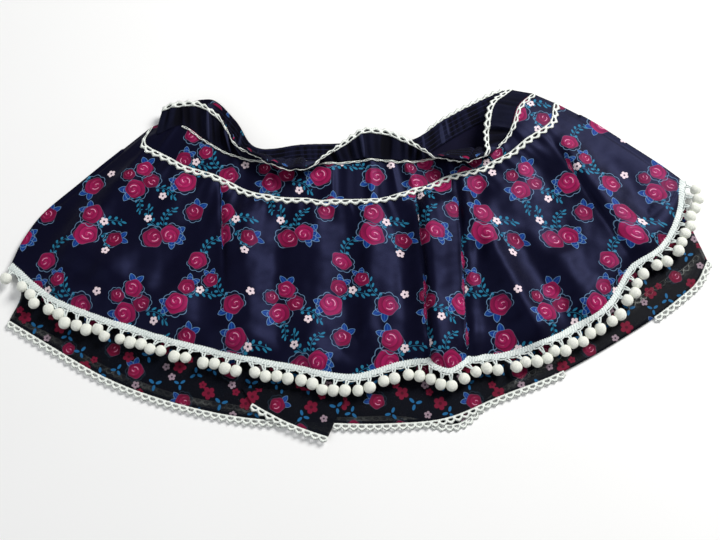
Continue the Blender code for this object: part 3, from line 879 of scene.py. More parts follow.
class Nodes:
    """Short ways to add and join shader nodes in one tree."""

    def __init__(self, tree):
        self.tree = tree
        self.count = 0

    def add(self, kind, **settings):
        """A new node."""
        node = self.tree.nodes.new(kind)
        for name, value in settings.items():
            setattr(node, name, value)
        node.location = (180 * (self.count % 12), -160 * (self.count // 12))
        self.count += 1
        return node

    def put(self, socket, value):
        """Links a socket to a value, or sets it."""
        if isinstance(value, bpy.types.NodeSocket):
            self.tree.links.new(value, socket)
        elif value is not None:
            socket.default_value = value

    def math(self, operation, a, b=None, c=None):
        """One step of arithmetic."""
        node = self.add("ShaderNodeMath", operation=operation)
        for socket, value in zip(node.inputs, (a, b, c)):
            self.put(socket, value)
        return node.outputs[0]

    def clamped(self, value, factor, offset):
        """value * factor + offset, kept from 0 to 1."""
        node = self.add("ShaderNodeClamp")
        self.put(node.inputs["Value"], self.math("MULTIPLY_ADD", value, factor, offset))
        return node.outputs[0]

    def vector(self, operation, a, b=None, c=None, scale=None):
        """One step of vector arithmetic."""
        node = self.add("ShaderNodeVectorMath", operation=operation)
        for socket, value in zip(node.inputs, (a, b, c)):
            self.put(socket, value)
        if scale is not None:
            self.put(node.inputs["Scale"], scale)
        return node.outputs["Value" if operation in ("LENGTH", "DOT_PRODUCT") else "Vector"]

    def mix(self, factor, a, b):
        """Colour a, or b where factor is 1."""
        node = self.add("ShaderNodeMix", data_type="RGBA")
        self.put(node.inputs["Factor"], factor)
        self.put(node.inputs["A"], a)
        self.put(node.inputs["B"], b)
        return node.outputs["Result"]

    def mapping(self, vector, at, turn, size):
        """Coordinates about a spot, turned and scaled so that the motif there is 1 large."""
        cos, sin = np.cos(np.radians(turn)) / size, np.sin(np.radians(turn)) / size
        away = self.vector("SUBTRACT", vector, (at[0], at[1], 0.0)) if any(at) else vector
        ahead = self.vector("DOT_PRODUCT", away, (cos, sin, 0.0))
        aside = self.vector("DOT_PRODUCT", away, (-sin, cos, 0.0))
        return self.joined(ahead, aside)

    def parts(self, vector):
        """A vector's first and second parts."""
        along = self.vector("DOT_PRODUCT", vector, (1.0, 0.0, 0.0))
        return along, self.vector("DOT_PRODUCT", vector, (0.0, 1.0, 0.0))

    def joined(self, x, y):
        """A vector from its first and second parts."""
        node = self.add("ShaderNodeCombineXYZ")
        self.put(node.inputs["X"], x)
        self.put(node.inputs["Y"], y)
        return node.outputs["Vector"]

    def below(self, value, limit, soft):
        """1 where value is below limit, with a soft edge."""
        if isinstance(limit, bpy.types.NodeSocket):
            value, limit = self.math("SUBTRACT", value, limit), 0.0
        node = self.add("ShaderNodeMapRange", interpolation_type="SMOOTHSTEP", clamp=False)
        self.put(node.inputs["Value"], value)
        node.inputs["From Min"].default_value = limit + soft / 2
        node.inputs["From Max"].default_value = limit - soft / 2
        return node.outputs["Result"]

    def line(self, value, at, half, soft):
        """1 on a line where value is near at."""
        gap = self.math("ABSOLUTE", self.math("SUBTRACT", value, at))
        return self.below(gap, half, soft)

    def group(self, tree, **inputs):
        """A node group with its inputs given by name."""
        node = self.add("ShaderNodeGroup", node_tree=tree)
        for name, value in inputs.items():
            self.put(node.inputs[name], value)
        return node


def new_group(name, inputs, outputs):
    """A shader node group with named sockets; returns its helper and its two end nodes."""
    tree = bpy.data.node_groups.new(name, "ShaderNodeTree")
    kinds = {"vector": "NodeSocketVector", "value": "NodeSocketFloat", "colour": "NodeSocketColor"}
    for socket, kind in inputs:
        tree.interface.new_socket(socket, in_out="INPUT", socket_type=kinds[kind])
    for socket, kind in outputs:
        tree.interface.new_socket(socket, in_out="OUTPUT", socket_type=kinds[kind])
    nodes = Nodes(tree)
    return nodes, nodes.add("NodeGroupInput"), nodes.add("NodeGroupOutput")


def rgb(text):
    """A colour as sRGB hex digits, made linear."""
    values = [int(text[i : i + 2], 16) / 255 for i in (0, 2, 4)]
    linear = [v / 12.92 if v <= 0.04045 else ((v + 0.055) / 1.055) ** 2.4 for v in values]
    return (*linear, 1.0)


def colour(name):
    """A colour that the panel lists."""
    return tuple(getattr(bpy.context.scene.skirt_colours, name))


def size(name):
    """A length that the panel lists, in millimetres."""
    return getattr(bpy.context.scene.skirt_sizes, name) / MM


def rose_tree():
    """A full-blown rose, 1 large across its radius, with an offset scalloped outline."""
    nodes, start, end = new_group(
        "Printed rose",
        [("Vector", "vector"), ("Tone", "value"), ("Ring", "value")],
        [("Color", "colour"), ("Mask", "value")],
    )
    spot = start.outputs["Vector"]
    tone = start.outputs["Tone"]
    x, y = nodes.parts(spot)
    far = nodes.vector("LENGTH", spot)
    angle = nodes.math("ARCTAN2", y, x)
    lobes = nodes.math("SINE", nodes.math("MULTIPLY_ADD", angle, 5.0, 0.8))
    edge = nodes.math("MULTIPLY_ADD", lobes, 0.055, 0.96)
    body = nodes.below(far, edge, 0.07)
    # petals wind round a heart that sits off the middle
    heart = nodes.vector("SUBTRACT", spot, (0.14, -0.18, 0.0))
    heart_x, heart_y = nodes.parts(heart)
    heart_far = nodes.vector("LENGTH", heart)
    heart_angle = nodes.math("ARCTAN2", heart_y, heart_x)
    turned = nodes.math("MULTIPLY", heart_far, 2.4)
    wound = nodes.math("MULTIPLY_ADD", heart_angle, 1 / TURN, turned)
    wind = nodes.math("FRACT", nodes.math("ADD", wound, 1.0))
    petal_line = nodes.line(wind, 0.55, 0.08, 0.12)
    near_heart = nodes.below(heart_far, 0.52, 0.2)
    breaks = nodes.math("SINE", nodes.math("MULTIPLY_ADD", heart_angle, 2.0, 0.6))
    light = nodes.math("MULTIPLY", petal_line, nodes.below(-0.15, breaks, 0.4))
    light = nodes.math("MULTIPLY", light, near_heart)
    fold = nodes.math("POWER", nodes.math("SUBTRACT", 1.0, wind), 1.6)
    shade = nodes.math("MULTIPLY", fold, nodes.math("MULTIPLY_ADD", far, 0.45, 0.4))
    rim = nodes.clamped(far, 0.8, -0.25)
    low = nodes.mix(tone, colour("rose_shade"), colour("rose"))
    high = nodes.mix(tone, colour("rose"), colour("rose_bright"))
    body_colour = nodes.mix(rim, high, low)
    body_colour = nodes.mix(shade, body_colour, colour("rose_shade"))
    body_colour = nodes.mix(light, body_colour, colour("rose_light"))
    # the loose outline
    shifted = nodes.vector("SUBTRACT", spot, (0.07, 0.07, 0.0))
    shifted_far = nodes.vector("LENGTH", shifted)
    scallops = nodes.math("ABSOLUTE", nodes.math("SINE", nodes.math("MULTIPLY", angle, 4.5)))
    ring = nodes.math("MULTIPLY_ADD", scallops, 0.15, 1.06)
    drawn = nodes.line(shifted_far, ring, 0.03, 0.05)
    window = nodes.math("COSINE", nodes.math("SUBTRACT", angle, 0.75))
    drawn = nodes.math("MULTIPLY", drawn, nodes.below(-0.45, window, 0.2))
    printed = nodes.mix(body, colour("outline"), body_colour)
    mask = nodes.math("MAXIMUM", body, nodes.math("MULTIPLY", drawn, start.outputs["Ring"]))
    nodes.put(end.inputs["Color"], printed)
    nodes.put(end.inputs["Mask"], mask)
    return nodes.tree


def leaf_tree():
    """Two outlined leaves that fork from one spot, each 1 long."""
    nodes, start, end = new_group(
        "Printed leaves",
        [("Vector", "vector")],
        [("Color", "colour"), ("Mask", "value")],
    )
    x, y = nodes.parts(start.outputs["Vector"])
    folded = nodes.joined(x, nodes.math("ABSOLUTE", y))
    leaf = nodes.mapping(folded, (0.02, 0.02), 33, 1.0)
    centred = nodes.vector("ABSOLUTE", nodes.vector("SUBTRACT", leaf, (0.5, 0.0, 0.0)))
    far = nodes.vector("LENGTH", nodes.vector("ADD", centred, (0.0, 0.30, 0.0)))
    body = nodes.below(far, 0.56, 0.03)
    outline = nodes.line(far, 0.56, 0.018, 0.03)
    rib = nodes.below(nodes.parts(centred)[1], 0.018, 0.02)
    printed = nodes.mix(nodes.math("MULTIPLY", rib, 0.6), colour("leaf"), colour("leaf_light"))
    printed = nodes.mix(outline, printed, colour("outline"))
    nodes.put(end.inputs["Color"], printed)
    nodes.put(end.inputs["Mask"], nodes.math("MAXIMUM", body, outline))
    return nodes.tree


def sprig_tree():
    """A thin bending stem, 1 long, with leaflets set alternately along it."""
    nodes, start, end = new_group("Printed sprig", [("Vector", "vector")], [("Mask", "value")])
    x, y = nodes.parts(start.outputs["Vector"])
    bend = nodes.math("MULTIPLY", nodes.math("SINE", nodes.math("MULTIPLY", x, 3.6)), 0.15)
    y = nodes.math("SUBTRACT", y, bend)
    on_stem = nodes.math("MULTIPLY", nodes.below(x, 0.90, 0.03), nodes.below(0.0, x, 0.03))
    stem = nodes.below(nodes.math("ABSOLUTE", y), 0.009, 0.014)
    # the leaflets of one side stand half a beat further along the stem
    later = nodes.math("MULTIPLY_ADD", nodes.math("SIGN", y), 0.055, x)
    pairs = 4.4
    beat = nodes.math("FRACT", nodes.math("MULTIPLY", later, pairs))
    beat = nodes.math("MULTIPLY", beat, 1 / pairs)
    # every leaflet leans towards the tip
    leaflet = nodes.mapping(nodes.joined(beat, nodes.math("ABSOLUTE", y)), (0.02, 0.045), 50, 1.0)
    oval = nodes.vector("SUBTRACT", leaflet, (0.085, 0.0, 0.0))
    oval = nodes.vector("MULTIPLY", oval, (1.0, 1.75, 0.0))
    leaves = nodes.below(nodes.vector("LENGTH", oval), 0.084, 0.014)
    tip = nodes.vector("SUBTRACT", nodes.joined(x, y), (0.97, 0.0, 0.0))
    tip = nodes.vector("MULTIPLY", tip, (1.0, 1.8, 0.0))
    tip_leaf = nodes.below(nodes.vector("LENGTH", tip), 0.088, 0.014)
    body = nodes.math("MULTIPLY", nodes.math("MAXIMUM", stem, leaves), on_stem)
    nodes.put(end.inputs["Mask"], nodes.math("MAXIMUM", body, tip_leaf))
    return nodes.tree


def blossom_tree():
    """A small flower of five round petals with a dark heart, 1 large across its radius."""
    nodes, start, end = new_group(
        "Printed blossom",
        [("Vector", "vector"), ("Petals", "colour"), ("Heart", "colour")],
        [("Color", "colour"), ("Mask", "value")],
    )
    x, y = nodes.parts(start.outputs["Vector"])
    far = nodes.vector("LENGTH", start.outputs["Vector"])
    angle = nodes.math("ARCTAN2", y, x)
    petals = nodes.math("ABSOLUTE", nodes.math("SINE", nodes.math("MULTIPLY", angle, 2.5)))
    edge = nodes.math("MULTIPLY_ADD", nodes.math("POWER", petals, 0.6), 0.45, 0.55)
    heart = nodes.below(far, 0.24, 0.12)
    nodes.put(end.inputs["Mask"], nodes.below(far, edge, 0.14))
    printed = nodes.mix(heart, start.outputs["Petals"], start.outputs["Heart"])
    nodes.put(end.inputs["Color"], printed)
    return nodes.tree


def trefoil_tree():
    """Three leaflets from one spot, each 1 long."""
    nodes, start, end = new_group("Printed trefoil", [("Vector", "vector")], [("Mask", "value")])
    x, y = nodes.parts(start.outputs["Vector"])
    angle = nodes.math("ARCTAN2", y, x)
    third = nodes.math("WRAP", angle, TURN / 6, -TURN / 6)
    far = nodes.vector("LENGTH", start.outputs["Vector"])
    leaf = nodes.joined(
        nodes.math("MULTIPLY", far, nodes.math("COSINE", third)),
        nodes.math("MULTIPLY", far, nodes.math("SINE", third)),
    )
    oval = nodes.vector("SUBTRACT", leaf, (0.58, 0.0, 0.0))
    oval = nodes.vector("MULTIPLY", oval, (1.0, 2.0, 0.0))
    nodes.put(end.inputs["Mask"], nodes.below(nodes.vector("LENGTH", oval), 0.42, 0.1))
    return nodes.tree


# The satin's repeat, charted in millimetres: small bunches of roses.  Each rose
# names the directions in which its pairs of leaves look out from under it.
Rose = namedtuple("Rose", "x y turn size tone leaves")
Motif = namedtuple("Motif", "kind x y turn size tone", defaults=(0,))
SATIN_REPEAT = (150.0, 132.0)
SATIN_ROSES = [
    Rose(26, 33, 30, 12.5, 0.95, (215,)),
    Rose(31, 55, 200, 11.0, 0.6, (130,)),
    Rose(55, 27, 120, 8.5, 0.1, (10,)),
    Rose(93, 29, 80, 10.5, 0.45, ()),
    Rose(110, 34, 300, 9.5, 0.85, (5, -60)),
    Rose(133, 58, 160, 9.0, 0.3, (60,)),
    Rose(72, 83, 250, 10.5, 0.7, (205,)),
    Rose(87, 92, 20, 8.5, 0.2, ()),
    Rose(64, 99, 140, 6.8, 0.1, ()),
    Rose(79, 107, 210, 9.0, 0.85, (80,)),
    Rose(27, 90, 60, 10.5, 0.6, (235,)),
    Rose(122, 91, 170, 11.5, 0.95, (190,)),
    Rose(130, 110, 330, 8.5, 0.35, (55,)),
    Rose(3, 117, 100, 7.5, 0.45, (100,)),
    Rose(139, 6, 260, 9.5, 0.7, ()),
]
SATIN_SPRIGS = [
    Motif("sprig", 37, 42, 12, 27),
    Motif("sprig", 43, 34, -76, 22),
    Motif("sprig", 98, 40, 118, 27),
    Motif("sprig", 103, 42, 62, 23),
    Motif("sprig", 69, 76, -62, 22),
    Motif("sprig", 92, 84, -28, 25),
    Motif("sprig", 131, 100, 4, 27),
    Motif("sprig", 21, 98, 122, 25),
    Motif("sprig", 144, 13, 48, 25),
]
SATIN_BLOSSOMS = [
    Motif("blossom", 43, 47, 10, 4.3),
    Motif("blossom", 48, 14, 40, 4.2),
    Motif("blossom", 87, 50, 15, 4.2),
    Motif("blossom", 100, 75, 20, 4.2),
    Motif("blossom", 44, 103, 75, 4.3),
    Motif("blossom", 143, 107, 30, 4.2),
]
# The chiffon's own repeat.
SHEER_REPEAT = (92.0, 76.0)
SHEER_ROSES = [
    Rose(16, 17, 40, 7.6, 0.25, (160,)),
    Rose(61, 47, 200, 8.0, 0.35, (110,)),
    Rose(38, 68, 100, 6.8, 0.1, ()),
    Rose(86, 69, 10, 6.4, 0.25, ()),
]
SHEER_SPRIGS = [
    Motif("trefoil", 52, 15, 15, 7.0),
    Motif("trefoil", 30, 5, 70, 6.5),
    Motif("trefoil", 72, 62, 40, 7.0),
    Motif("trefoil", 27, 44, 95, 6.5),
    Motif("trefoil", 80, 34, 20, 7.0),
    Motif("trefoil", 6, 66, 50, 6.5),
    Motif("trefoil", 43, 48, 60, 6.2),
    Motif("trefoil", 84, 6, 75, 6.5),
    Motif("trefoil", 12, 34, 35, 6.0),
]
SHEER_BLOSSOMS = [
    Motif("crimson", 40, 25, 10, 6.4),
    Motif("crimson", 34, 33, 50, 3.8),
    Motif("crimson", 76, 15, 35, 6.6),
    Motif("crimson", 11, 51, 25, 6.4),
    Motif("crimson", 20, 58, 0, 3.6),
    Motif("crimson", 53, 61, 15, 5.6),
    Motif("crimson", 66, 26, 40, 3.8),
    Motif("blossom", 62, 33, 10, 3.9),
    Motif("blossom", 4, 41, 60, 3.7),
    Motif("blossom", 90, 51, 5, 3.7),
    Motif("blossom", 64, 4, 45, 3.7),
]
LEAF_LENGTH = 12.8
# How strongly the outline round each rose is printed
SATIN_RING = 0.85
SHEER_RING = 0.15

# Colours that the panel doesn't list
BLOSSOM_HEART = rgb("1c1024")
CRIMSON_HEART = rgb("4c0a20")
SATIN_SHEEN = rgb("98a4ff")
WRONG_SIDE = (rgb("0b0a1a"), rgb("121128"))
# The band's painted shade in the hollows of its gathers and painted sheen on their crests
BAND_PAINTED_SHADE = rgb("06060f")
BAND_PAINTED_SHEEN = rgb("25283f")
ELASTIC_STITCH = rgb("2c2e50")

# The band's inner face, in millimetres: from one row of elastic stitching to the next, from
# one stitch to the next, and how wide the printed facing on its edge is
ELASTIC_ROW = 5.2
ELASTIC_STITCH_LENGTH = 2.4
FACING_WIDTH = 4.6
# How much of what lies below the chiffon hides, and what its print, its rolled hem, its
# uneven threads and its clinging to a hem below add or take away
CHIFFON_COVER = 0.70
PRINT_COVER = 0.18
HEM_COVER = 0.35
GRAIN_COVER = 0.14
CLING_COVER = -0.36
MOST_COVER = 0.97
ROLLED_HEM = 3.6
# From one slanting rib of the braid's thread to the next
RIB_TWIST = 2.9


def chart(roses, sprigs, blossoms):
    """The motifs in the order in which they are printed over each other."""
    leaves = []
    for rose in roses:
        for way in rose.leaves:
            turn = np.radians(way)
            x = rose.x + 0.5 * rose.size * np.cos(turn)
            y = rose.y + 0.5 * rose.size * np.sin(turn)
            leaves.append(Motif("leaves", x, y, way, min(LEAF_LENGTH, 1.25 * rose.size)))
    heads = [Motif("rose", rose.x, rose.y, rose.turn, rose.size, rose.tone) for rose in roses]
    return [*sprigs, *leaves, *heads, *blossoms]


def print_tree(name, motifs, repeat, ring, trefoil_colour, petal_colour):
    """The printed repeat: where there is print and its colours, from the cut's own map."""
    nodes, start, end = new_group(
        name, [("Vector", "vector"), ("Ground", "colour")], [("Color", "colour"), ("Mask", "value")]
    )
    shapes = {
        "rose": bpy.data.node_groups.get("Printed rose") or rose_tree(),
        "leaves": bpy.data.node_groups.get("Printed leaves") or leaf_tree(),
        "sprig": bpy.data.node_groups.get("Printed sprig") or sprig_tree(),
        "blossom": bpy.data.node_groups.get("Printed blossom") or blossom_tree(),
        "trefoil": bpy.data.node_groups.get("Printed trefoil") or trefoil_tree(),
    }
    shapes["crimson"] = shapes["blossom"]
    plain = {"sprig": colour("sprig"), "trefoil": trefoil_colour}
    half = np.array(repeat) / 2
    printed = start.outputs["Ground"]
    total = None
    for motif in motifs:
        near = nodes.vector("SUBTRACT", start.outputs["Vector"], (motif.x, motif.y, 0.0))
        near = nodes.vector("WRAP", near, (half[0], half[1], 1.0), (-half[0], -half[1], -1.0))
        local = nodes.mapping(near, (0.0, 0.0), motif.turn, motif.size)
        settings = {"Vector": local}
        if motif.kind == "rose":
            settings.update(Tone=motif.tone, Ring=ring)
        if motif.kind == "blossom":
            settings.update(Petals=petal_colour, Heart=BLOSSOM_HEART)
        if motif.kind == "crimson":
            settings.update(Petals=colour("crimson"), Heart=CRIMSON_HEART)
        made = nodes.group(shapes[motif.kind], **settings)
        mask = made.outputs["Mask"]
        printed = nodes.mix(mask, printed, plain.get(motif.kind) or made.outputs["Color"])
        total = mask if total is None else nodes.math("MAXIMUM", total, mask)
    nodes.put(end.inputs["Color"], printed)
    nodes.put(end.inputs["Mask"], total)
    return nodes.tree


def new_material(name):
    """A material, its node helper and its shader."""
    material = bpy.data.materials.new(name)
    material.use_nodes = True
    nodes = Nodes(material.node_tree)
    shader = material.node_tree.nodes["Principled BSDF"]
    return material, nodes, shader


def cut_map(nodes, layer="Cut"):
    """The piece's own map, in millimetres."""
    uv = nodes.add("ShaderNodeUVMap", uv_map=layer)
    return nodes.vector("SCALE", uv.outputs["UV"], scale=1000.0)


def grain(nodes, vector, scale, detail=2.0):
    """A soft cloudy value from 0 to 1."""
    noise = nodes.add("ShaderNodeTexNoise")
    nodes.put(noise.inputs["Vector"], vector)
    noise.inputs["Scale"].default_value = scale
    noise.inputs["Detail"].default_value = detail
    return noise.outputs["Fac"]


def weave_tree():
    """A fine diagonal weave as a height, from coordinates in millimetres."""
    nodes, start, end = new_group(
        "Weave", [("Vector", "vector"), ("Pitch", "value")], [("Height", "value")]
    )
    x, y = nodes.parts(start.outputs["Vector"])
    turns = nodes.math("DIVIDE", TURN, start.outputs["Pitch"])
    along = nodes.math("SINE", nodes.math("MULTIPLY", nodes.math("ADD", x, y), turns))
    across = nodes.math("SINE", nodes.math("MULTIPLY", nodes.math("SUBTRACT", x, y), turns))
    mixed = nodes.math("MULTIPLY_ADD", across, 0.4, along)
    nodes.put(end.inputs["Height"], mixed)
    return nodes.tree


def bump(nodes, shader, height, strength, distance):
    """Gives a shader a relief, its depth in millimetres."""
    node = nodes.add("ShaderNodeBump")
    node.inputs["Strength"].default_value = strength
    node.inputs["Distance"].default_value = distance * MM
    nodes.put(node.inputs["Height"], height)
    nodes.put(shader.inputs["Normal"], node.outputs["Normal"])


def object_map(nodes):
    """Coordinates in millimetres in the row's frame."""
    spot = nodes.add("ShaderNodeTexCoord")
    return nodes.vector("SCALE", spot.outputs["Object"], scale=1000.0)


def satin_material():
    """Printed satin: a navy ground with a soft blue-grey sheen."""
    material, nodes, shader = new_material("printed_satin_cloth")
    spot = cut_map(nodes)
    fade = grain(nodes, spot, 0.03, 3.0)
    ground = nodes.mix(fade, colour("satin_shade"), colour("satin"))
    motifs = chart(SATIN_ROSES, SATIN_SPRIGS, SATIN_BLOSSOMS)
    tints = (colour("sprig"), colour("blossom"))
    tree = print_tree("Satin print", motifs, SATIN_REPEAT, SATIN_RING, *tints)
    made = nodes.group(tree, Vector=spot, Ground=ground)
    nodes.put(shader.inputs["Base Color"], made.outputs["Color"])
    rough = nodes.math("MULTIPLY_ADD", made.outputs["Mask"], 0.05, 0.48)
    rough = nodes.math("MULTIPLY_ADD", grain(nodes, spot, 0.15), 0.06, rough)
    nodes.put(shader.inputs["Roughness"], rough)
    weave = nodes.group(bpy.data.node_groups["Weave"], Vector=spot, Pitch=0.7)
    bump(nodes, shader, weave.outputs["Height"], 0.12, 0.05)
    shader.inputs["Specular IOR Level"].default_value = 0.20
    shader.inputs["Specular Tint"].default_value = SATIN_SHEEN
    return material


def satin_wrong_side():
    """The satin's inner face: the bare ground, matt."""
    material, nodes, shader = new_material("printed_satin_inside")
    spot = cut_map(nodes)
    fade = grain(nodes, spot, 0.05, 3.0)
    nodes.put(shader.inputs["Base Color"], nodes.mix(fade, *WRONG_SIDE))
    weave = nodes.group(bpy.data.node_groups["Weave"], Vector=spot, Pitch=0.7)
    bump(nodes, shader, weave.outputs["Height"], 0.15, 0.05)
    shader.inputs["Roughness"].default_value = 0.8
    shader.inputs["Specular IOR Level"].default_value = 0.06
    return material


def jersey_material(name, elastic_rows):
    """Matt navy twill with painted shade in its gathers' hollows and a painted sheen on their crests; its
    inner face shows the rows that hold the elastic.
    """
    material, nodes, shader = new_material(name)
    spot = cut_map(nodes)
    fade = grain(nodes, spot, 0.12, 4.0)
    shade = nodes.mix(fade, colour("band_shade"), colour("band"))
    # painted shade darkens the folds' hollows and a painted sheen lightens their crests
    stands, _ = nodes.parts(nodes.add("ShaderNodeUVMap", uv_map="Folds").outputs["UV"])
    shade = nodes.mix(nodes.below(stands, 0.25, 0.35), shade, BAND_PAINTED_SHADE)
    shade = nodes.mix(nodes.below(0.86, stands, 0.16), shade, BAND_PAINTED_SHEEN)
    height = nodes.group(bpy.data.node_groups["Weave"], Vector=spot, Pitch=0.9).outputs["Height"]
    if elastic_rows:
        along, down = nodes.parts(spot)
        beat = nodes.math("FRACT", nodes.math("DIVIDE", down, ELASTIC_ROW))
        row = nodes.line(beat, 0.5, 0.07, 0.06)
        dash = nodes.math("FRACT", nodes.math("DIVIDE", along, ELASTIC_STITCH_LENGTH))
        row = nodes.math("MULTIPLY", row, nodes.below(dash, 0.75, 0.15))
        shade = nodes.mix(nodes.math("MULTIPLY", row, 0.55), shade, ELASTIC_STITCH)
        groove = nodes.line(beat, 0.5, 0.16, 0.2)
        height = nodes.math("MULTIPLY_ADD", groove, -3.0, height)
        # a narrow facing of the printed satin binds the edge
        moved = nodes.vector("ADD", spot, (20.0, 18.0, 0.0))
        tree = bpy.data.node_groups["Satin print"]
        facing = nodes.group(tree, Vector=moved, Ground=colour("satin"))
        on_edge = nodes.below(down, FACING_WIDTH, 0.3)
        shade = nodes.mix(on_edge, shade, facing.outputs["Color"])
    nodes.put(shader.inputs["Base Color"], shade)
    bump(nodes, shader, height, 0.35, 0.10)
    shader.inputs["Roughness"].default_value = 0.85
    shader.inputs["Specular IOR Level"].default_value = 0.06
    return material


def chiffon_material():
    """Sheer, near-black chiffon with its own print; its hem is rolled and denser."""
    material, nodes, shader = new_material("printed_chiffon_cloth")
    spot = cut_map(nodes)
    fade = grain(nodes, spot, 0.012, 2.0)
    ground = nodes.mix(nodes.clamped(fade, 3.0, -1.0), colour("chiffon_shade"), colour("chiffon"))
    motifs = chart(SHEER_ROSES, SHEER_SPRIGS, SHEER_BLOSSOMS)
    tints = (colour("trefoil"), colour("chiffon_blossom"))
    tree = print_tree("Chiffon print", motifs, SHEER_REPEAT, SHEER_RING, *tints)
    made = nodes.group(tree, Vector=spot, Ground=ground)
    nodes.put(shader.inputs["Base Color"], made.outputs["Color"])
    _, from_hem = nodes.parts(cut_map(nodes, "Edge"))
    hem = nodes.below(from_hem, ROLLED_HEM, 0.6)
    cover = nodes.math("MULTIPLY_ADD", made.outputs["Mask"], PRINT_COVER, CHIFFON_COVER)
    cover = nodes.math("MULTIPLY_ADD", hem, HEM_COVER, cover)
    cover = nodes.math("MULTIPLY_ADD", grain(nodes, spot, 0.09, 3.0), GRAIN_COVER, cover)
    clings, _ = nodes.parts(nodes.add("ShaderNodeUVMap", uv_map="Clings").outputs["UV"])
    cover = nodes.math("MULTIPLY_ADD", clings, CLING_COVER, cover)
    nodes.put(shader.inputs["Alpha"], nodes.math("MINIMUM", cover, MOST_COVER))
    weave = nodes.group(bpy.data.node_groups["Weave"], Vector=spot, Pitch=0.8)
    bump(nodes, shader, weave.outputs["Height"], 0.15, 0.04)
    shader.inputs["Roughness"].default_value = 0.62
    shader.inputs["Specular IOR Level"].default_value = 0.09
    return material


def thread_material(name, light, dark, pitch, ribs=False):
    """Off-white cotton thread: the twist shows as a fine relief, with painted shade greying its hollows."""
    material, nodes, shader = new_material(name)
    spot = object_map(nodes)
    twist = nodes.group(bpy.data.node_groups["Weave"], Vector=spot, Pitch=pitch).outputs["Height"]
    # the colour follows the relief: painted shade greys the low spots
    soft = grain(nodes, spot, 0.8, 3.0)
    tint = nodes.clamped(soft, 1.4, -0.2)
    height = nodes.math("MULTIPLY_ADD", soft, 1.6, twist)
    if ribs:
        along, across = nodes.parts(cut_map(nodes))
        slant = nodes.math("MULTIPLY_ADD", across, 0.5, along)
        rib = nodes.math("SINE", nodes.math("MULTIPLY", slant, TURN / RIB_TWIST))
        # painted shade darkens the hollows between the ribs
        tint = nodes.clamped(nodes.math("MULTIPLY_ADD", rib, 0.22, tint), 1.0, 0.05)
        height = nodes.math("MULTIPLY_ADD", rib, 1.5, height)
    nodes.put(shader.inputs["Base Color"], nodes.mix(tint, dark, light))
    bump(nodes, shader, height, 0.6, 0.14)
    shader.inputs["Roughness"].default_value = 0.9
    shader.inputs["Sheen Weight"].default_value = 0.15
    return material


MATERIALS = {}


def make_materials():
    """Builds each finish once."""
    if MATERIALS:
        return
    weave_tree()
    MATERIALS["satin"] = satin_material()
    MATERIALS["satin_inside"] = satin_wrong_side()
    MATERIALS["jersey"] = jersey_material("navy_jersey_outside", False)
    MATERIALS["jersey_inside"] = jersey_material("navy_jersey_inside", True)
    MATERIALS["chiffon"] = chiffon_material()
    tints = {name: (colour(name), colour(f"{name}_shade")) for name in ("lace", "braid", "pompom")}
    MATERIALS["lace"] = thread_material("picot_lace_thread", *tints["lace"], 1.1)
    MATERIALS["braid"] = thread_material("pompom_braid_thread", *tints["braid"], 1.4, ribs=True)
    MATERIALS["pompom"] = thread_material("pompom_felt", *tints["pompom"], 0.8)


# ----------------------------------------
# Pieces

BAND_COLUMNS, BAND_ROWS = 460, 22
YOKE_COLUMNS, YOKE_ROWS = 460, 22
FLOUNCE_COLUMNS, FLOUNCE_ROWS = 460, 100
TIER_COLUMNS, TIER_ROW_COUNT = 320, 60
BACK_COLUMNS, BACK_BAND_ROWS, BACK_YOKE_ROWS, BACK_FLOUNCE_ROWS = 240, 14, 12, 50
OVERLAP_COLUMNS, OVERLAP_ROWS = 60, 30
UP = np.array([0.0, 0.0, 1.0])

# The band's depth, and how much longer it is when it isn't drawn up
BAND_DEPTH = 25.0
BAND_DRAWN_UP = 1.25
# The back band's facing is turned under by FACING_TURN from FACING_ENDS on
FACING_ENDS = -122.0
FACING_FADE = 8.0
FACING_TURN = 6.0
# Where an edging's lines lie, from its heading to its tips: how far in from the edge of the
# panel, or beyond it where below 0
WAIST_EDGING = (5.0, 1.2, -2.8)
BAND_EDGING = (0.6, 3.4)
BAND_EDGING_TURNED = 6.4
YOKE_EDGING = (2.2, 6.6)
YOKE_HEADING = 1.8
TUCKED_EDGING = (-0.8, -8.5)
# The back's edging on the waist shows from here on
BACK_EDGING_STARTS = 62.0
# The edging under the band starts at the left fold, and lies flatter from TURNED_FROM on
BAND_EDGING_STARTS = -186.0
TURNED_FROM = 112.0
# The front tier clings along a line this far beyond the back tier's hem, and to each side
CLING_OUT = 2.6
CLING_HALF = 3.9


def pattern_map(rows, shift=(0.0, 0.0), flip=1.0, hidden=0.0):
    """The print's coordinates: where each point lay on the cloth before it was cut.

    A panel that is seen from its wrong side is flipped; hidden is what its creases take up.
    """
    spots = rows[..., :2].copy()
    spots[..., 0] = spots[..., 0] * flip + hidden
    return (spots + np.array(shift)) * MM


def band_map(rows):
    """Coordinates along and down a band."""
    along = distances(rows[len(rows) // 2])
    down = np.linspace(0.0, BAND_DEPTH, len(rows))
    u, v = np.meshgrid(along * BAND_DRAWN_UP, down)
    return np.stack([u, v], axis=-1) * MM


def hem_map(rows):
    """Coordinates along a hem and up from it."""
    up = np.linalg.norm(np.diff(rows[::-1], axis=0, prepend=rows[-1:]), axis=2)
    from_hem = np.cumsum(up, axis=0)[::-1]
    along = distances(rows[-1])
    return np.stack([np.broadcast_to(along, from_hem.shape), from_hem], axis=-1) * MM


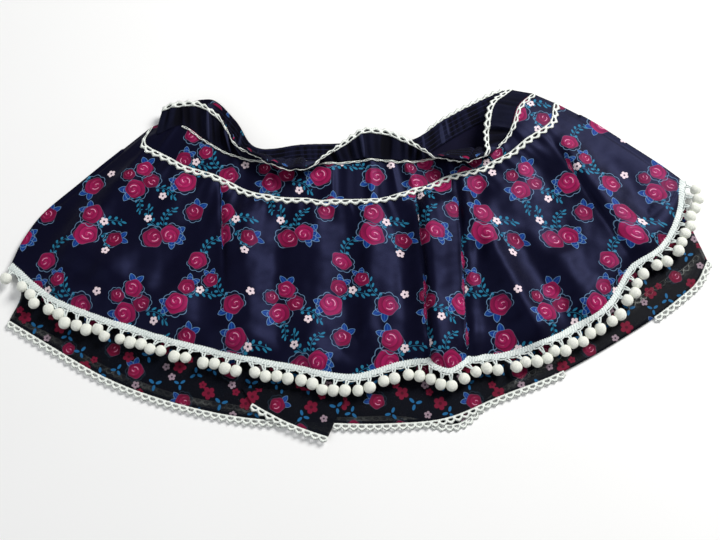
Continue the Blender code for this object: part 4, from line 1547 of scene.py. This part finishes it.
def build_band():
    """The elastic band: its gathered front, and its back, seen from the inner side."""
    cloths = (MATERIALS["jersey"], MATERIALS["jersey_inside"])
    rows = band_front_rows(BAND_COLUMNS, BAND_ROWS)
    folds = gather_map(rows, *band_front_plain(BAND_COLUMNS, BAND_ROWS))
    maps = {"Cut": band_map(rows), "Folds": folds}
    sheet_piece("waistband_front", rows, maps, BAND_WALL, cloths)
    ends = inner(np.linspace(0.0, 1.0, BACK_COLUMNS))
    plain = back_rows("waist", "band", BACK_COLUMNS, BACK_BAND_ROWS, BACK_BAND_LEVEL)
    rows = gathered(plain, ends, seed=5, pitch=3.6, height=0.7, edge=0.6)
    cut = band_map(rows)
    cut[..., 1] += FACING_TURN * MM * smooth((rows[..., 0] - FACING_ENDS) / FACING_FADE)
    maps = {"Cut": cut, "Folds": gather_map(rows, plain, ends)}
    cloths = cloths[::-1]
    sheet_piece("waistband_back", rows, maps, BACK_BAND_WALL, cloths)


def satin_piece(node, rows, maps, inside_out):
    """A panel of the printed satin, the back ones lying with their wrong side up."""
    cloths = (MATERIALS["satin"], MATERIALS["satin_inside"])
    cloths = cloths[::-1] if inside_out else cloths
    sheet_piece(node, rows, maps, SATIN_WALL, cloths)


def build_yoke():
    """The yoke, front and back; each has a shift of its own on the printed cloth."""
    rows = yoke_front_rows(YOKE_COLUMNS, YOKE_ROWS)
    satin_piece("yoke_front", rows, {"Cut": pattern_map(rows, (12, -8))}, False)
    rows = back_rows("band", "yoke", BACK_COLUMNS, BACK_YOKE_ROWS, BACK_YOKE_LEVEL)
    maps = {"Cut": pattern_map(rows, (70, 20), -1.0)}
    satin_piece("yoke_back", rows, maps, True)


def build_flounce():
    """The flounce, front and back."""
    rows = flounce_front_rows()
    maps = {"Cut": pattern_map(rows, hidden=creased(rows))}
    satin_piece("flounce_front", rows, maps, False)
    rows = flounce_back_rows(BACK_COLUMNS, BACK_FLOUNCE_ROWS)
    maps = {"Cut": pattern_map(rows, (40, 60), -1.0)}
    satin_piece("flounce_back", rows, maps, True)


def cling_map(rows, below):
    """Where a sheer layer clings to the hem of the layer below it, from 0 to 1."""
    (line,), _ = evenly([beyond(below, CLING_OUT)], 1.0)
    numbers, away = nearest(rows, line)
    patchy = 0.62 + 0.38 * Waves(71, 15.0, len(line)).at(numbers)
    share = patchy * np.exp(-((away / CLING_HALF) ** 2))
    return np.stack([share, share], axis=-1)


def chiffon_piece(node, rows, cut, clings):
    """A panel of the sheer chiffon, one wall of one finish."""
    maps = {"Cut": cut * MM, "Edge": hem_map(rows), "Clings": clings}
    cloths = [MATERIALS["chiffon"]]
    sheet_piece(node, rows, maps, SHEER_WALL, cloths)


def build_tiers():
    """The sheer under-tier, back and front, and the front's folded corner."""
    rows = tier_rows("back")
    plan = rows[..., :2]
    chiffon_piece("under_tier_back", rows, plan + np.array((55, 35)), plan * 0.0)
    rows = tier_rows("front")
    clings = cling_map(rows, tier_rows("back")[-1])
    chiffon_piece("under_tier_front", rows, rows[..., :2], clings)
    rows = overlap_rows(OVERLAP_COLUMNS, OVERLAP_ROWS)
    cut = rows[..., :2] * np.array([-1, 1]) + np.array([30, 80])
    chiffon_piece("under_tier_overlap", rows, cut, cut * 0.0)


def overlap_rows(columns, count):
    """The corner of the front tier that is folded over itself."""
    across = np.linspace(0.0, 1.0, columns)[:, None]
    corners = {name: np.array(spot, float) for name, spot in OVERLAP.items()}
    top = corners["top left"] + (corners["top right"] - corners["top left"]) * across
    hem = corners["hem left"] + (corners["hem right"] - corners["hem left"]) * across
    hem[:, 1] -= 3.0 * np.sin(np.pi * across[:, 0])
    level = 2 * CAD_SHEER_WALL + CAD_TIER_GAP + GAP + SHEER_WALL + 0.2
    rows = []
    for share in np.linspace(0.0, 1.0, count):
        line = top + (hem - top) * share
        rows.append(np.hstack([line, np.full((columns, 1), level)]))
    rows = np.array(rows)
    rows[..., 2] += 0.3 * np.maximum(rumple(rows, 51, 30.0), -0.5)
    return rows


def build_lace():
    """The crochet edgings of the front's waist and seams, then the others."""
    band = band_front_rows(BAND_COLUMNS, BAND_ROWS)
    yoke = yoke_front_rows(BAND_COLUMNS, YOKE_ROWS)
    flounce = flounce_front_rows()
    repeat = size("lace_repeat")
    ends = inner(np.linspace(0.0, 1.0, BAND_COLUMNS))
    band_out = softened(outward(band, ends)[0], 6)
    yoke_out = softened(outward(yoke, ends)[3], 6)
    seam_out = softened(outward(yoke, ends)[-1] + outward(flounce, ends)[0], 6)
    lines = [softened(line_on(band, distance), 2) for distance in WAIST_EDGING]
    edging("waist_lace_front", wavering(lines, 64, 13.0, 0.9), band_out, repeat, 61)
    # it stands nearly on edge, except on the right, and starts at the fold on the left
    heading, narrow = (line_on(yoke, distance) for distance in BAND_EDGING)
    wide = line_on(yoke, BAND_EDGING_TURNED)
    turned = smooth((heading[:, :1] - TURNED_FROM) / 30.0)
    first = int(np.argmax(heading[:, 0] > BAND_EDGING_STARTS))
    lines = np.array([heading, narrow + (wide - narrow) * turned])[:, first:]
    edging("band_lace_front", lines, yoke_out[first:], repeat, 62, thick=1.3)
    heading = line_on(yoke, YOKE_HEADING, from_last=True)
    lines = [heading, *(line_on(flounce, distance) for distance in YOKE_EDGING)]
    edging("yoke_lace_front", wavering(lines, 65, 19.0, 1.6), seam_out, repeat, 63)
    build_back_lace()
    build_hem_lace()


def build_back_lace():
    """The back's edgings lie under its panels, so only the waist's picots show."""
    upright = np.tile(UP, (BACK_COLUMNS, 1))
    band = back_rows("waist", "band", BACK_COLUMNS, BACK_BAND_ROWS, 1.4)
    yoke = back_rows("band", "yoke", BACK_COLUMNS, BACK_YOKE_ROWS, 0.0)
    strips = {
        "waist_lace_back": [line_on(band, 5.0), turned_in(line_on(band, -5.4), line_on(band, 1.5))],
        "band_lace_back": [line_on(yoke, 5.8), line_on(yoke, 9.8)],
        "yoke_lace_back": [line_on(yoke, 2.0, from_last=True), line_on(yoke, -6.5, from_last=True)],
    }
    for number, (node, lines) in enumerate(strips.items()):
        edging(node, lines, upright, 9.0, 70 + number, thick=0.6)


def turned_in(out, under):
    """The waist's edging shows only right of the middle; on the left it is turned under."""
    shows = smooth((out[:, :1] - BACK_EDGING_STARTS) / 12.0)
    return under + (out - under) * shows


def build_hem_lace():
    """The under-tier's picot edging; a stretch of the front's is turned under its hem."""
    repeat, width = size("hem_lace_repeat"), size("hem_lace_width")
    upright = np.tile(UP, (TIER_COLUMNS, 1))
    hems = {side: tier_rows(side)[-1] - UP * SHEER_WALL for side in ("back", "front")}
    lines = np.array([beyond(hems["back"], -1.0), beyond(hems["back"], width)])
    edging("hem_lace_back", lines, upright, repeat, 80)
    lines = np.array([beyond(hems["front"], -1.0), beyond(hems["front"], width)])
    shares = np.linspace(1 / CAD_COLUMNS, 1 - 1 / CAD_COLUMNS, TIER_COLUMNS)
    first, second = np.searchsorted(shares, (TUCKED_FROM, TUCKED_TO))
    edging("hem_lace_front_left", lines[:, :first], upright[:first], repeat, 81)
    edging("hem_lace_front_right", lines[:, second:], upright[second:], repeat, 82)
    under = np.array([beyond(hems["front"], distance) for distance in TUCKED_EDGING])
    under = under[:, first:second] - UP * 1.2
    edging("hem_lace_front_tucked", under, upright[first:second], 8.4, 84, thick=0.5)
    hem = overlap_rows(OVERLAP_COLUMNS, OVERLAP_ROWS)[-1]
    lines = [beyond(hem, -0.8), beyond(hem, width)]
    edging("hem_lace_overlap", lines, np.tile(UP, (OVERLAP_COLUMNS, 1)), repeat, 86)


# How far the braid reaches to each side of the hem, and the pitches of its ribs and of the
# sway of its edges
BRAID_IN = 3.4
BRAID_OUT = 3.6
RIB_PITCH = 2.5
SWAY_PITCH = 5.0
BRAID_LOOP_RADIUS = 0.62
STEM_RADIUS = 0.85
# How far beyond the braid a pompom is tied and hangs, and how far left it may lean
TIE_OUT = 0.6
HANG_OUT = 10.0
LEAN_LEFT = 0.35
# How far the back's braid is set out from the hem below it
BACK_BRAID_OUT = 3.8
# The share of the back hem's width that has no trim, at each side
BACK_TRIM_FROM = 0.11


def braid_piece(node, hem, lift, thick):
    """The braid's tape with its cross ribs, and the thread scallops on its lower edge."""
    inner_line = beyond(hem, -BRAID_IN)
    outer_line = beyond(hem, BRAID_OUT)
    strip, along = evenly([inner_line, hem, outer_line], 0.62)
    across = np.linspace(0.0, 1.0, 9)
    tape = through(strip, np.array([0.0, 0.5, 1.0]), across)
    phase = np.where(across > 0.5, np.pi, 0.0)[:, None]
    rib = 0.5 + 0.5 * np.cos(along[None, :] * TURN / RIB_PITCH + phase)
    crown = (np.sin(np.pi * np.clip(across, 0.04, 0.96)) ** 0.45)[:, None]
    tape[..., 2] += lift + thick * crown * (0.35 + 0.65 * rib)
    sway = 0.28 * np.sin(along[None, :] * TURN / SWAY_PITCH)
    tape[..., 1] += np.where((across < 0.01)[:, None] | (across > 0.99)[:, None], sway, 0.0)
    cut = np.broadcast_arrays(along[None, :], across[:, None] * (BRAID_IN + BRAID_OUT))
    braid = MATERIALS["braid"]
    maps = {"Cut": np.stack(cut, axis=-1) * MM}
    made = cloth(f"{node}_tape", tape, maps, TAPE_WALL, [braid])
    heap = Heap()
    repeats = int(round(along[-1] / size("pompom_spacing")))
    step = along[-1] / repeats
    for repeat in range(repeats):
        share = np.linspace(0.0, 1.0, 8)
        u = (repeat + share) * step
        spots = read_at(u, along, strip[2])
        way = read_at(u, along, strip[2] - strip[0])
        way /= np.linalg.norm(way, axis=1, keepdims=True)
        spots += way * (1.5 * np.sin(np.pi * share) ** 0.7 - 0.2)[:, None]
        spots[:, 2] += lift + 0.3
        heap.add(*tube(spots, BRAID_LOOP_RADIUS))
    join(made, heap.made(f"{node}_loops", braid))
    hand_over(made, node)


def join(made, other):
    """Makes two objects one piece."""
    bpy.ops.object.select_all(action="DESELECT")
    other.select_set(True)
    made.select_set(True)
    bpy.context.view_layer.objects.active = made
    bpy.ops.object.join()
    made.select_set(False)


def pompom_shape():
    """One felted ball, 1 large across its radius, dimpled where its stem is tied."""
    bpy.ops.object.select_all(action="DESELECT")
    bpy.ops.mesh.primitive_cube_add(size=2.0, location=(0, 0, 0))
    ball = bpy.context.object
    bpy.ops.object.mode_set(mode="EDIT")
    bpy.ops.mesh.select_all(action="SELECT")
    bpy.ops.mesh.subdivide(number_cuts=3)
    bpy.ops.transform.tosphere(value=1.0)
    bpy.ops.object.mode_set(mode="OBJECT")
    points = np.array([vertex.co for vertex in ball.data.vertices])
    points /= np.linalg.norm(points, axis=1, keepdims=True)
    dimple = 0.22 * smooth((points[:, 1] - 0.80) / 0.2)
    points *= (1.0 - dimple)[:, None]
    faces = [list(face.vertices) for face in ball.data.polygons]
    bpy.data.objects.remove(ball, do_unlink=True)
    return points, faces


def pompom_row(hem, seed):
    """Where each pompom of a row hangs: its tie on the braid and its middle."""
    rng = np.random.default_rng(seed)
    ties_line = beyond(hem, BRAID_OUT + TIE_OUT)
    far_line = beyond(hem, BRAID_OUT + HANG_OUT, LEAN_LEFT)
    (ties_line, far_line), along = evenly([ties_line, far_line], 1.0)
    repeats = int(round(along[-1] / size("pompom_spacing")))
    step = along[-1] / repeats
    u = (np.arange(repeats) + 0.5) * step
    ties = read_at(u, along, ties_line)
    way = read_at(u, along, far_line - ties_line)
    way[:, 2] = 0
    way /= np.linalg.norm(way, axis=1, keepdims=True)
    side = np.stack([-way[:, 1], way[:, 0], np.zeros(repeats)], axis=1)
    lean = rng.uniform(-0.6, 0.6, repeats) + 0.35 * np.sin(u / 37.0)
    reach = rng.uniform(8.4, 11.0, repeats)
    middles = ties + (way + side * lean[:, None]) * reach[:, None]
    radii = rng.uniform(0.94, 1.06, repeats) * size("pompom") / 2
    # neighbours that would overlap push each other apart
    for _ in range(12):
        gap = np.diff(middles[:, :2], axis=0)
        far = np.linalg.norm(gap, axis=1, keepdims=True)
        short = np.maximum((radii[:-1] + radii[1:])[:, None] * 0.95 - far, 0.0)
        push = gap / far * short / 2
        middles[:-1, :2] -= push
        middles[1:, :2] += push
    return ties, middles, radii


def fringe_piece(node, hem, seed, ground, flat, lift):
    """Stems and felted balls hanging from the braid, resting on what lies below."""
    shape, faces = pompom_shape()
    rng = np.random.default_rng(seed + 1)
    balls = Heap()
    stems = Heap()
    for tie, middle, radius in zip(*pompom_row(hem, seed)):
        middle = middle.copy()
        middle[2] = ground + radius * flat
        towards = tie - middle
        turn = np.arctan2(towards[1], towards[0]) - np.pi / 2
        cos, sin = np.cos(turn), np.sin(turn)
        spin = np.array([[cos, -sin, 0], [sin, cos, 0], [0, 0, 1]])
        tip = rng.uniform(-0.25, 0.25)
        roll = np.array([[1, 0, 0], [0, np.cos(tip), -np.sin(tip)], [0, np.sin(tip), np.cos(tip)]])
        squash = np.array([rng.uniform(0.95, 1.04), rng.uniform(1.0, 1.12), flat])
        balls.add(shape * (radius * squash) @ roll.T @ spin.T + middle, faces)
        start = tie.copy()
        start[2] += lift
        end = middle + (start - middle) / np.linalg.norm(start - middle) * radius * 0.72
        across = np.array([cos, sin, 0.0])
        share = np.linspace(0.0, 1.0, 5)[:, None]
        for side in (-1, 1):
            path = start + (end - start) * share
            path = path + across * side * (1.25 * (1 - share) + 0.35)
            path[:, 2] += 0.9 * np.sin(np.pi * share[:, 0])
            stems.add(*tube(path, STEM_RADIUS))
    made = balls.made(f"{node}_balls", MATERIALS["pompom"])
    join(made, stems.made(f"{node}_stems", MATERIALS["braid"]))
    hand_over(made, node)


def build_trim():
    """The pompom trim on the flounce's front hem, and the flatter one on its back hem."""
    hem = softened(flounce_front_rows()[-1], 4)
    braid_piece("pompom_braid_front", hem, 0.3, BRAID_WALL)
    fringe_piece("pompom_fringe_front", hem, 91, 4.0, 0.86, 0.5)
    shares = np.linspace(BACK_TRIM_FROM, 1 - BACK_TRIM_FROM, BACK_COLUMNS)
    hem = plan_rows(front_lines(shares)[2][:, :2], "back", shares)[BACK_HEM]
    hem[:, 2] = 0.3
    hem = beyond(hem, BACK_BRAID_OUT)
    braid_piece("pompom_braid_back", hem, 0.1, BACK_BRAID_WALL)
    fringe_piece("pompom_fringe_back", hem, 95, 0.2, 0.42, 0.3)


# ----------------------------------------
# The studio


def floor_material():
    """A pale matt table top."""
    material, nodes, shader = new_material("pale_floor")
    soft = grain(nodes, object_map(nodes), 0.004, 2.0)
    nodes.put(shader.inputs["Base Color"], nodes.mix(soft, rgb("f4f4f3"), rgb("f8f8f8")))
    shader.inputs["Roughness"].default_value = 0.95
    shader.inputs["Specular IOR Level"].default_value = 0.1
    return material


def build_studio(settings):
    """The floor, the camera, the two lamps and the light from all round."""
    bpy.ops.object.select_all(action="DESELECT")
    bpy.ops.mesh.primitive_plane_add(size=14.0, location=(0.0, 0.0, -0.0004))
    floor = bpy.context.object
    floor.name = "studio_floor"
    floor.data.materials.append(floor_material())
    camera_data = bpy.data.cameras.new("skirt_camera")
    camera = bpy.data.objects.new("skirt_camera", camera_data)
    bpy.context.collection.objects.link(camera)
    camera_data.lens = settings.lens
    camera_data.sensor_width = 36.0
    camera_data.clip_start = 0.01
    tilt = np.pi / 2 - settings.elevation
    reach = settings.distance
    camera.location = (0.0, -MIDDLE_Y * MM - reach * np.sin(tilt), reach * np.cos(tilt))
    camera.rotation_euler = (tilt, 0.0, 0.0)
    bpy.context.scene.camera = camera
    lamps = (
        ("window", (1.25, 1.15, 1.45), 1.1, settings.window, (1.0, 0.99, 0.97)),
        ("fill", (-1.5, -0.8, 1.8), 2.2, settings.fill, (0.96, 0.98, 1.0)),
    )
    for name, spot, wide, power, tint in lamps:
        data = bpy.data.lights.new(name, "AREA")
        data.shape = "DISK"
        data.size = wide
        data.energy = power
        data.color = tint
        lamp = bpy.data.objects.new(name, data)
        bpy.context.collection.objects.link(lamp)
        lamp.location = spot
        # each lamp looks at the skirt
        pitch = np.arctan2(np.hypot(spot[0], spot[1]), spot[2])
        lamp.rotation_euler = (pitch, 0.0, np.arctan2(spot[1], spot[0]) + np.pi / 2)
    world = bpy.data.worlds.new("studio_air")
    world.use_nodes = True
    sky = world.node_tree.nodes["Background"]
    sky.inputs["Color"].default_value = (0.95, 0.97, 1.0, 1.0)
    sky.inputs["Strength"].default_value = settings.air
    bpy.context.scene.world = world
    bpy.context.scene.view_settings.view_transform = "Standard"
    bpy.context.scene.view_settings.look = "None"


# ----------------------------------------
# Settings and operators


def dye(name, description, code):
    """A colour property, its default given as sRGB hex digits."""
    return bpy.props.FloatVectorProperty(
        name=name, description=description, subtype="COLOR", size=4, min=0.0, max=1.0, default=rgb(code)
    )


def measure(name, description, millimetres, least, most):
    """A length property, its default and limits given in millimetres."""
    return bpy.props.FloatProperty(
        name=name,
        description=description,
        default=millimetres * MM,
        min=least * MM,
        max=most * MM,
        subtype="DISTANCE",
        unit="LENGTH",
    )


class SkirtColours(bpy.types.PropertyGroup):
    """Colours of the cloths, the print and the threads."""

    satin: dye("Satin", "Ground of the printed satin", "09081a")
    satin_shade: dye("Satin shade", "Deeper cast in the satin's ground", "04030e")
    rose: dye("Rose", "Petals of the printed roses", "7a1036")
    rose_shade: dye("Rose shade", "Depth of the printed roses", "3c0619")
    rose_bright: dye("Bright rose", "Petals of the brightest roses", "a61e58")
    rose_light: dye("Rose light", "Strokes of light on the petals", "dc9ab6")
    leaf: dye("Leaf", "Leaves beside the roses", "0e3478")
    leaf_light: dye("Leaf rib", "Ribs of the leaves", "2f68ac")
    outline: dye("Outline", "Lines round roses and leaves", "6c8fae")
    sprig: dye("Sprig", "Small-leaved sprigs", "23708f")
    blossom: dye("Blossom", "Small five-petalled flowers", "e2cfd4")
    crimson: dye("Crimson flower", "The chiffon's five-petalled flowers", "70122e")
    trefoil: dye("Trefoil", "The chiffon's leaflets", "1f5f8e")
    chiffon_blossom: dye("Pale flower", "The chiffon's small pale flowers", "94808c")
    chiffon: dye("Chiffon", "Ground of the sheer cloth", "070911")
    chiffon_shade: dye("Chiffon shade", "Cooler cast in the sheer cloth", "030714")
    band: dye("Band", "The waistband's jersey", "13152a")
    band_shade: dye("Band shade", "Deeper cast in the jersey", "090a17")
    lace: dye("Lace", "The edgings' thread", "fbfdf8")
    # The threads' shade colours are painted shade for the hollows of their relief
    lace_shade: dye("Lace shade", "Hollows of the edgings' thread", "e0e8e0")
    braid: dye("Braid", "The braid's thread", "f4f9f6")
    braid_shade: dye("Braid shade", "Hollows between the braid's ribs", "b4c2c0")
    pompom: dye("Pompom", "The pompoms' felt", "fafbf2")
    pompom_shade: dye("Pompom shade", "Hollows of the felt", "dfe3d8")


class SkirtSizes(bpy.types.PropertyGroup):
    """Sizes of the trims and the gathers."""

    pompom: measure("Pompom", "Diameter of a pompom", 11.4, 4.0, 20.0)
    pompom_spacing: measure("Spacing", "From one pompom to the next", 12.0, 6.0, 40.0)
    lace_repeat: measure("Lace repeat", "Length of one picot of the upper edgings", 10.2, 4.0, 20.0)
    hem_lace_repeat: measure("Hem lace repeat", "Length of one picot at the hem", 7.8, 4.0, 20.0)
    hem_lace_width: measure("Hem lace width", "How far the hem's edging stands out", 6.6, 3.0, 10.0)
    gathers: measure("Gathers", "Depth of the waistband's gathers", 3.6, 0.5, 5.0)


class SkirtStudio(bpy.types.PropertyGroup):
    """Camera and light."""

    lens: bpy.props.FloatProperty(name="Lens", description="Focal length", default=50.0, unit="CAMERA")
    distance: bpy.props.FloatProperty(
        name="Distance", description="Camera's distance from the skirt", default=1.0, unit="LENGTH"
    )
    elevation: bpy.props.FloatProperty(
        name="Elevation",
        description="Camera's height above the horizon",
        default=float(np.radians(68.0)),
        subtype="ANGLE",
    )
    window: bpy.props.FloatProperty(
        name="Window", description="Power of the lamp on the right", default=60.0, min=0.0, unit="POWER"
    )
    fill: bpy.props.FloatProperty(
        name="Fill", description="Power of the lamp on the left", default=18.0, min=0.0, unit="POWER"
    )
    air: bpy.props.FloatProperty(name="Air light", description="Light from all round", default=0.20, min=0.0)


class SKIRT_OT_waistband(bpy.types.Operator):
    """Models the gathered elastic band, front and back"""

    bl_idname = "skirt.waistband"
    bl_label = "Waistband"

    def execute(self, context):
        make_materials()
        build_band()
        return {"FINISHED"}


class SKIRT_OT_yoke(bpy.types.Operator):
    """Models the printed yoke, front and back"""

    bl_idname = "skirt.yoke"
    bl_label = "Yoke"

    def execute(self, context):
        make_materials()
        build_yoke()
        return {"FINISHED"}


class SKIRT_OT_flounce(bpy.types.Operator):
    """Models the printed flounce, front and back"""

    bl_idname = "skirt.flounce"
    bl_label = "Flounce"

    def execute(self, context):
        make_materials()
        build_flounce()
        return {"FINISHED"}


class SKIRT_OT_under_tier(bpy.types.Operator):
    """Models the sheer under-tier and its folded corner"""

    bl_idname = "skirt.under_tier"
    bl_label = "Under-tier"

    def execute(self, context):
        make_materials()
        build_tiers()
        return {"FINISHED"}


class SKIRT_OT_lace(bpy.types.Operator):
    """Lays the crochet edgings along the waist, the seams and the hem"""

    bl_idname = "skirt.lace"
    bl_label = "Lace"

    def execute(self, context):
        make_materials()
        build_lace()
        return {"FINISHED"}


class SKIRT_OT_pompom_trim(bpy.types.Operator):
    """Models the braid, its stems and its pompoms on the flounce's hem"""

    bl_idname = "skirt.pompom_trim"
    bl_label = "Pompom trim"

    def execute(self, context):
        make_materials()
        build_trim()
        return {"FINISHED"}


class SKIRT_OT_studio(bpy.types.Operator):
    """Sets up the floor, the lamps and the camera"""

    bl_idname = "skirt.studio"
    bl_label = "Studio"

    def execute(self, context):
        build_studio(context.scene.skirt_studio)
        return {"FINISHED"}


OPERATORS = (
    SKIRT_OT_waistband,
    SKIRT_OT_yoke,
    SKIRT_OT_flounce,
    SKIRT_OT_under_tier,
    SKIRT_OT_lace,
    SKIRT_OT_pompom_trim,
    SKIRT_OT_studio,
)


class SKIRT_PT_panel(bpy.types.Panel):
    """Lists the skirt's pieces in the sidebar"""

    bl_idname = "SKIRT_PT_panel"
    bl_label = "Mini skirt"
    bl_space_type = "VIEW_3D"
    bl_region_type = "UI"
    bl_category = "Skirt"

    def draw(self, context):
        for operator in OPERATORS:
            self.layout.operator(operator.bl_idname)
        for title, settings in (
            ("Sizes", context.scene.skirt_sizes),
            ("Colours", context.scene.skirt_colours),
            ("Studio", context.scene.skirt_studio),
        ):
            self.layout.label(text=title)
            for name in settings.__annotations__:
                self.layout.prop(settings, name)


CLASSES = (SkirtColours, SkirtSizes, SkirtStudio, *OPERATORS, SKIRT_PT_panel)


def register():
    """Adds the settings, the operators and the panel."""
    for each in CLASSES:
        bpy.utils.register_class(each)
    bpy.types.Scene.skirt_colours = bpy.props.PointerProperty(type=SkirtColours)
    bpy.types.Scene.skirt_sizes = bpy.props.PointerProperty(type=SkirtSizes)
    bpy.types.Scene.skirt_studio = bpy.props.PointerProperty(type=SkirtStudio)


def unregister():
    """Takes them away again."""
    del bpy.types.Scene.skirt_studio
    del bpy.types.Scene.skirt_sizes
    del bpy.types.Scene.skirt_colours
    for each in reversed(CLASSES):
        bpy.utils.unregister_class(each)


def main():
    """Builds the whole skirt and its studio."""
    register()
    bpy.ops.object.select_all(action="DESELECT")
    # the trims come first
    bpy.ops.skirt.lace()
    bpy.ops.skirt.pompom_trim()
    bpy.ops.skirt.waistband()
    bpy.ops.skirt.yoke()
    bpy.ops.skirt.flounce()
    bpy.ops.skirt.under_tier()
    bpy.ops.skirt.studio()


if __name__ == "__main__":
    main()
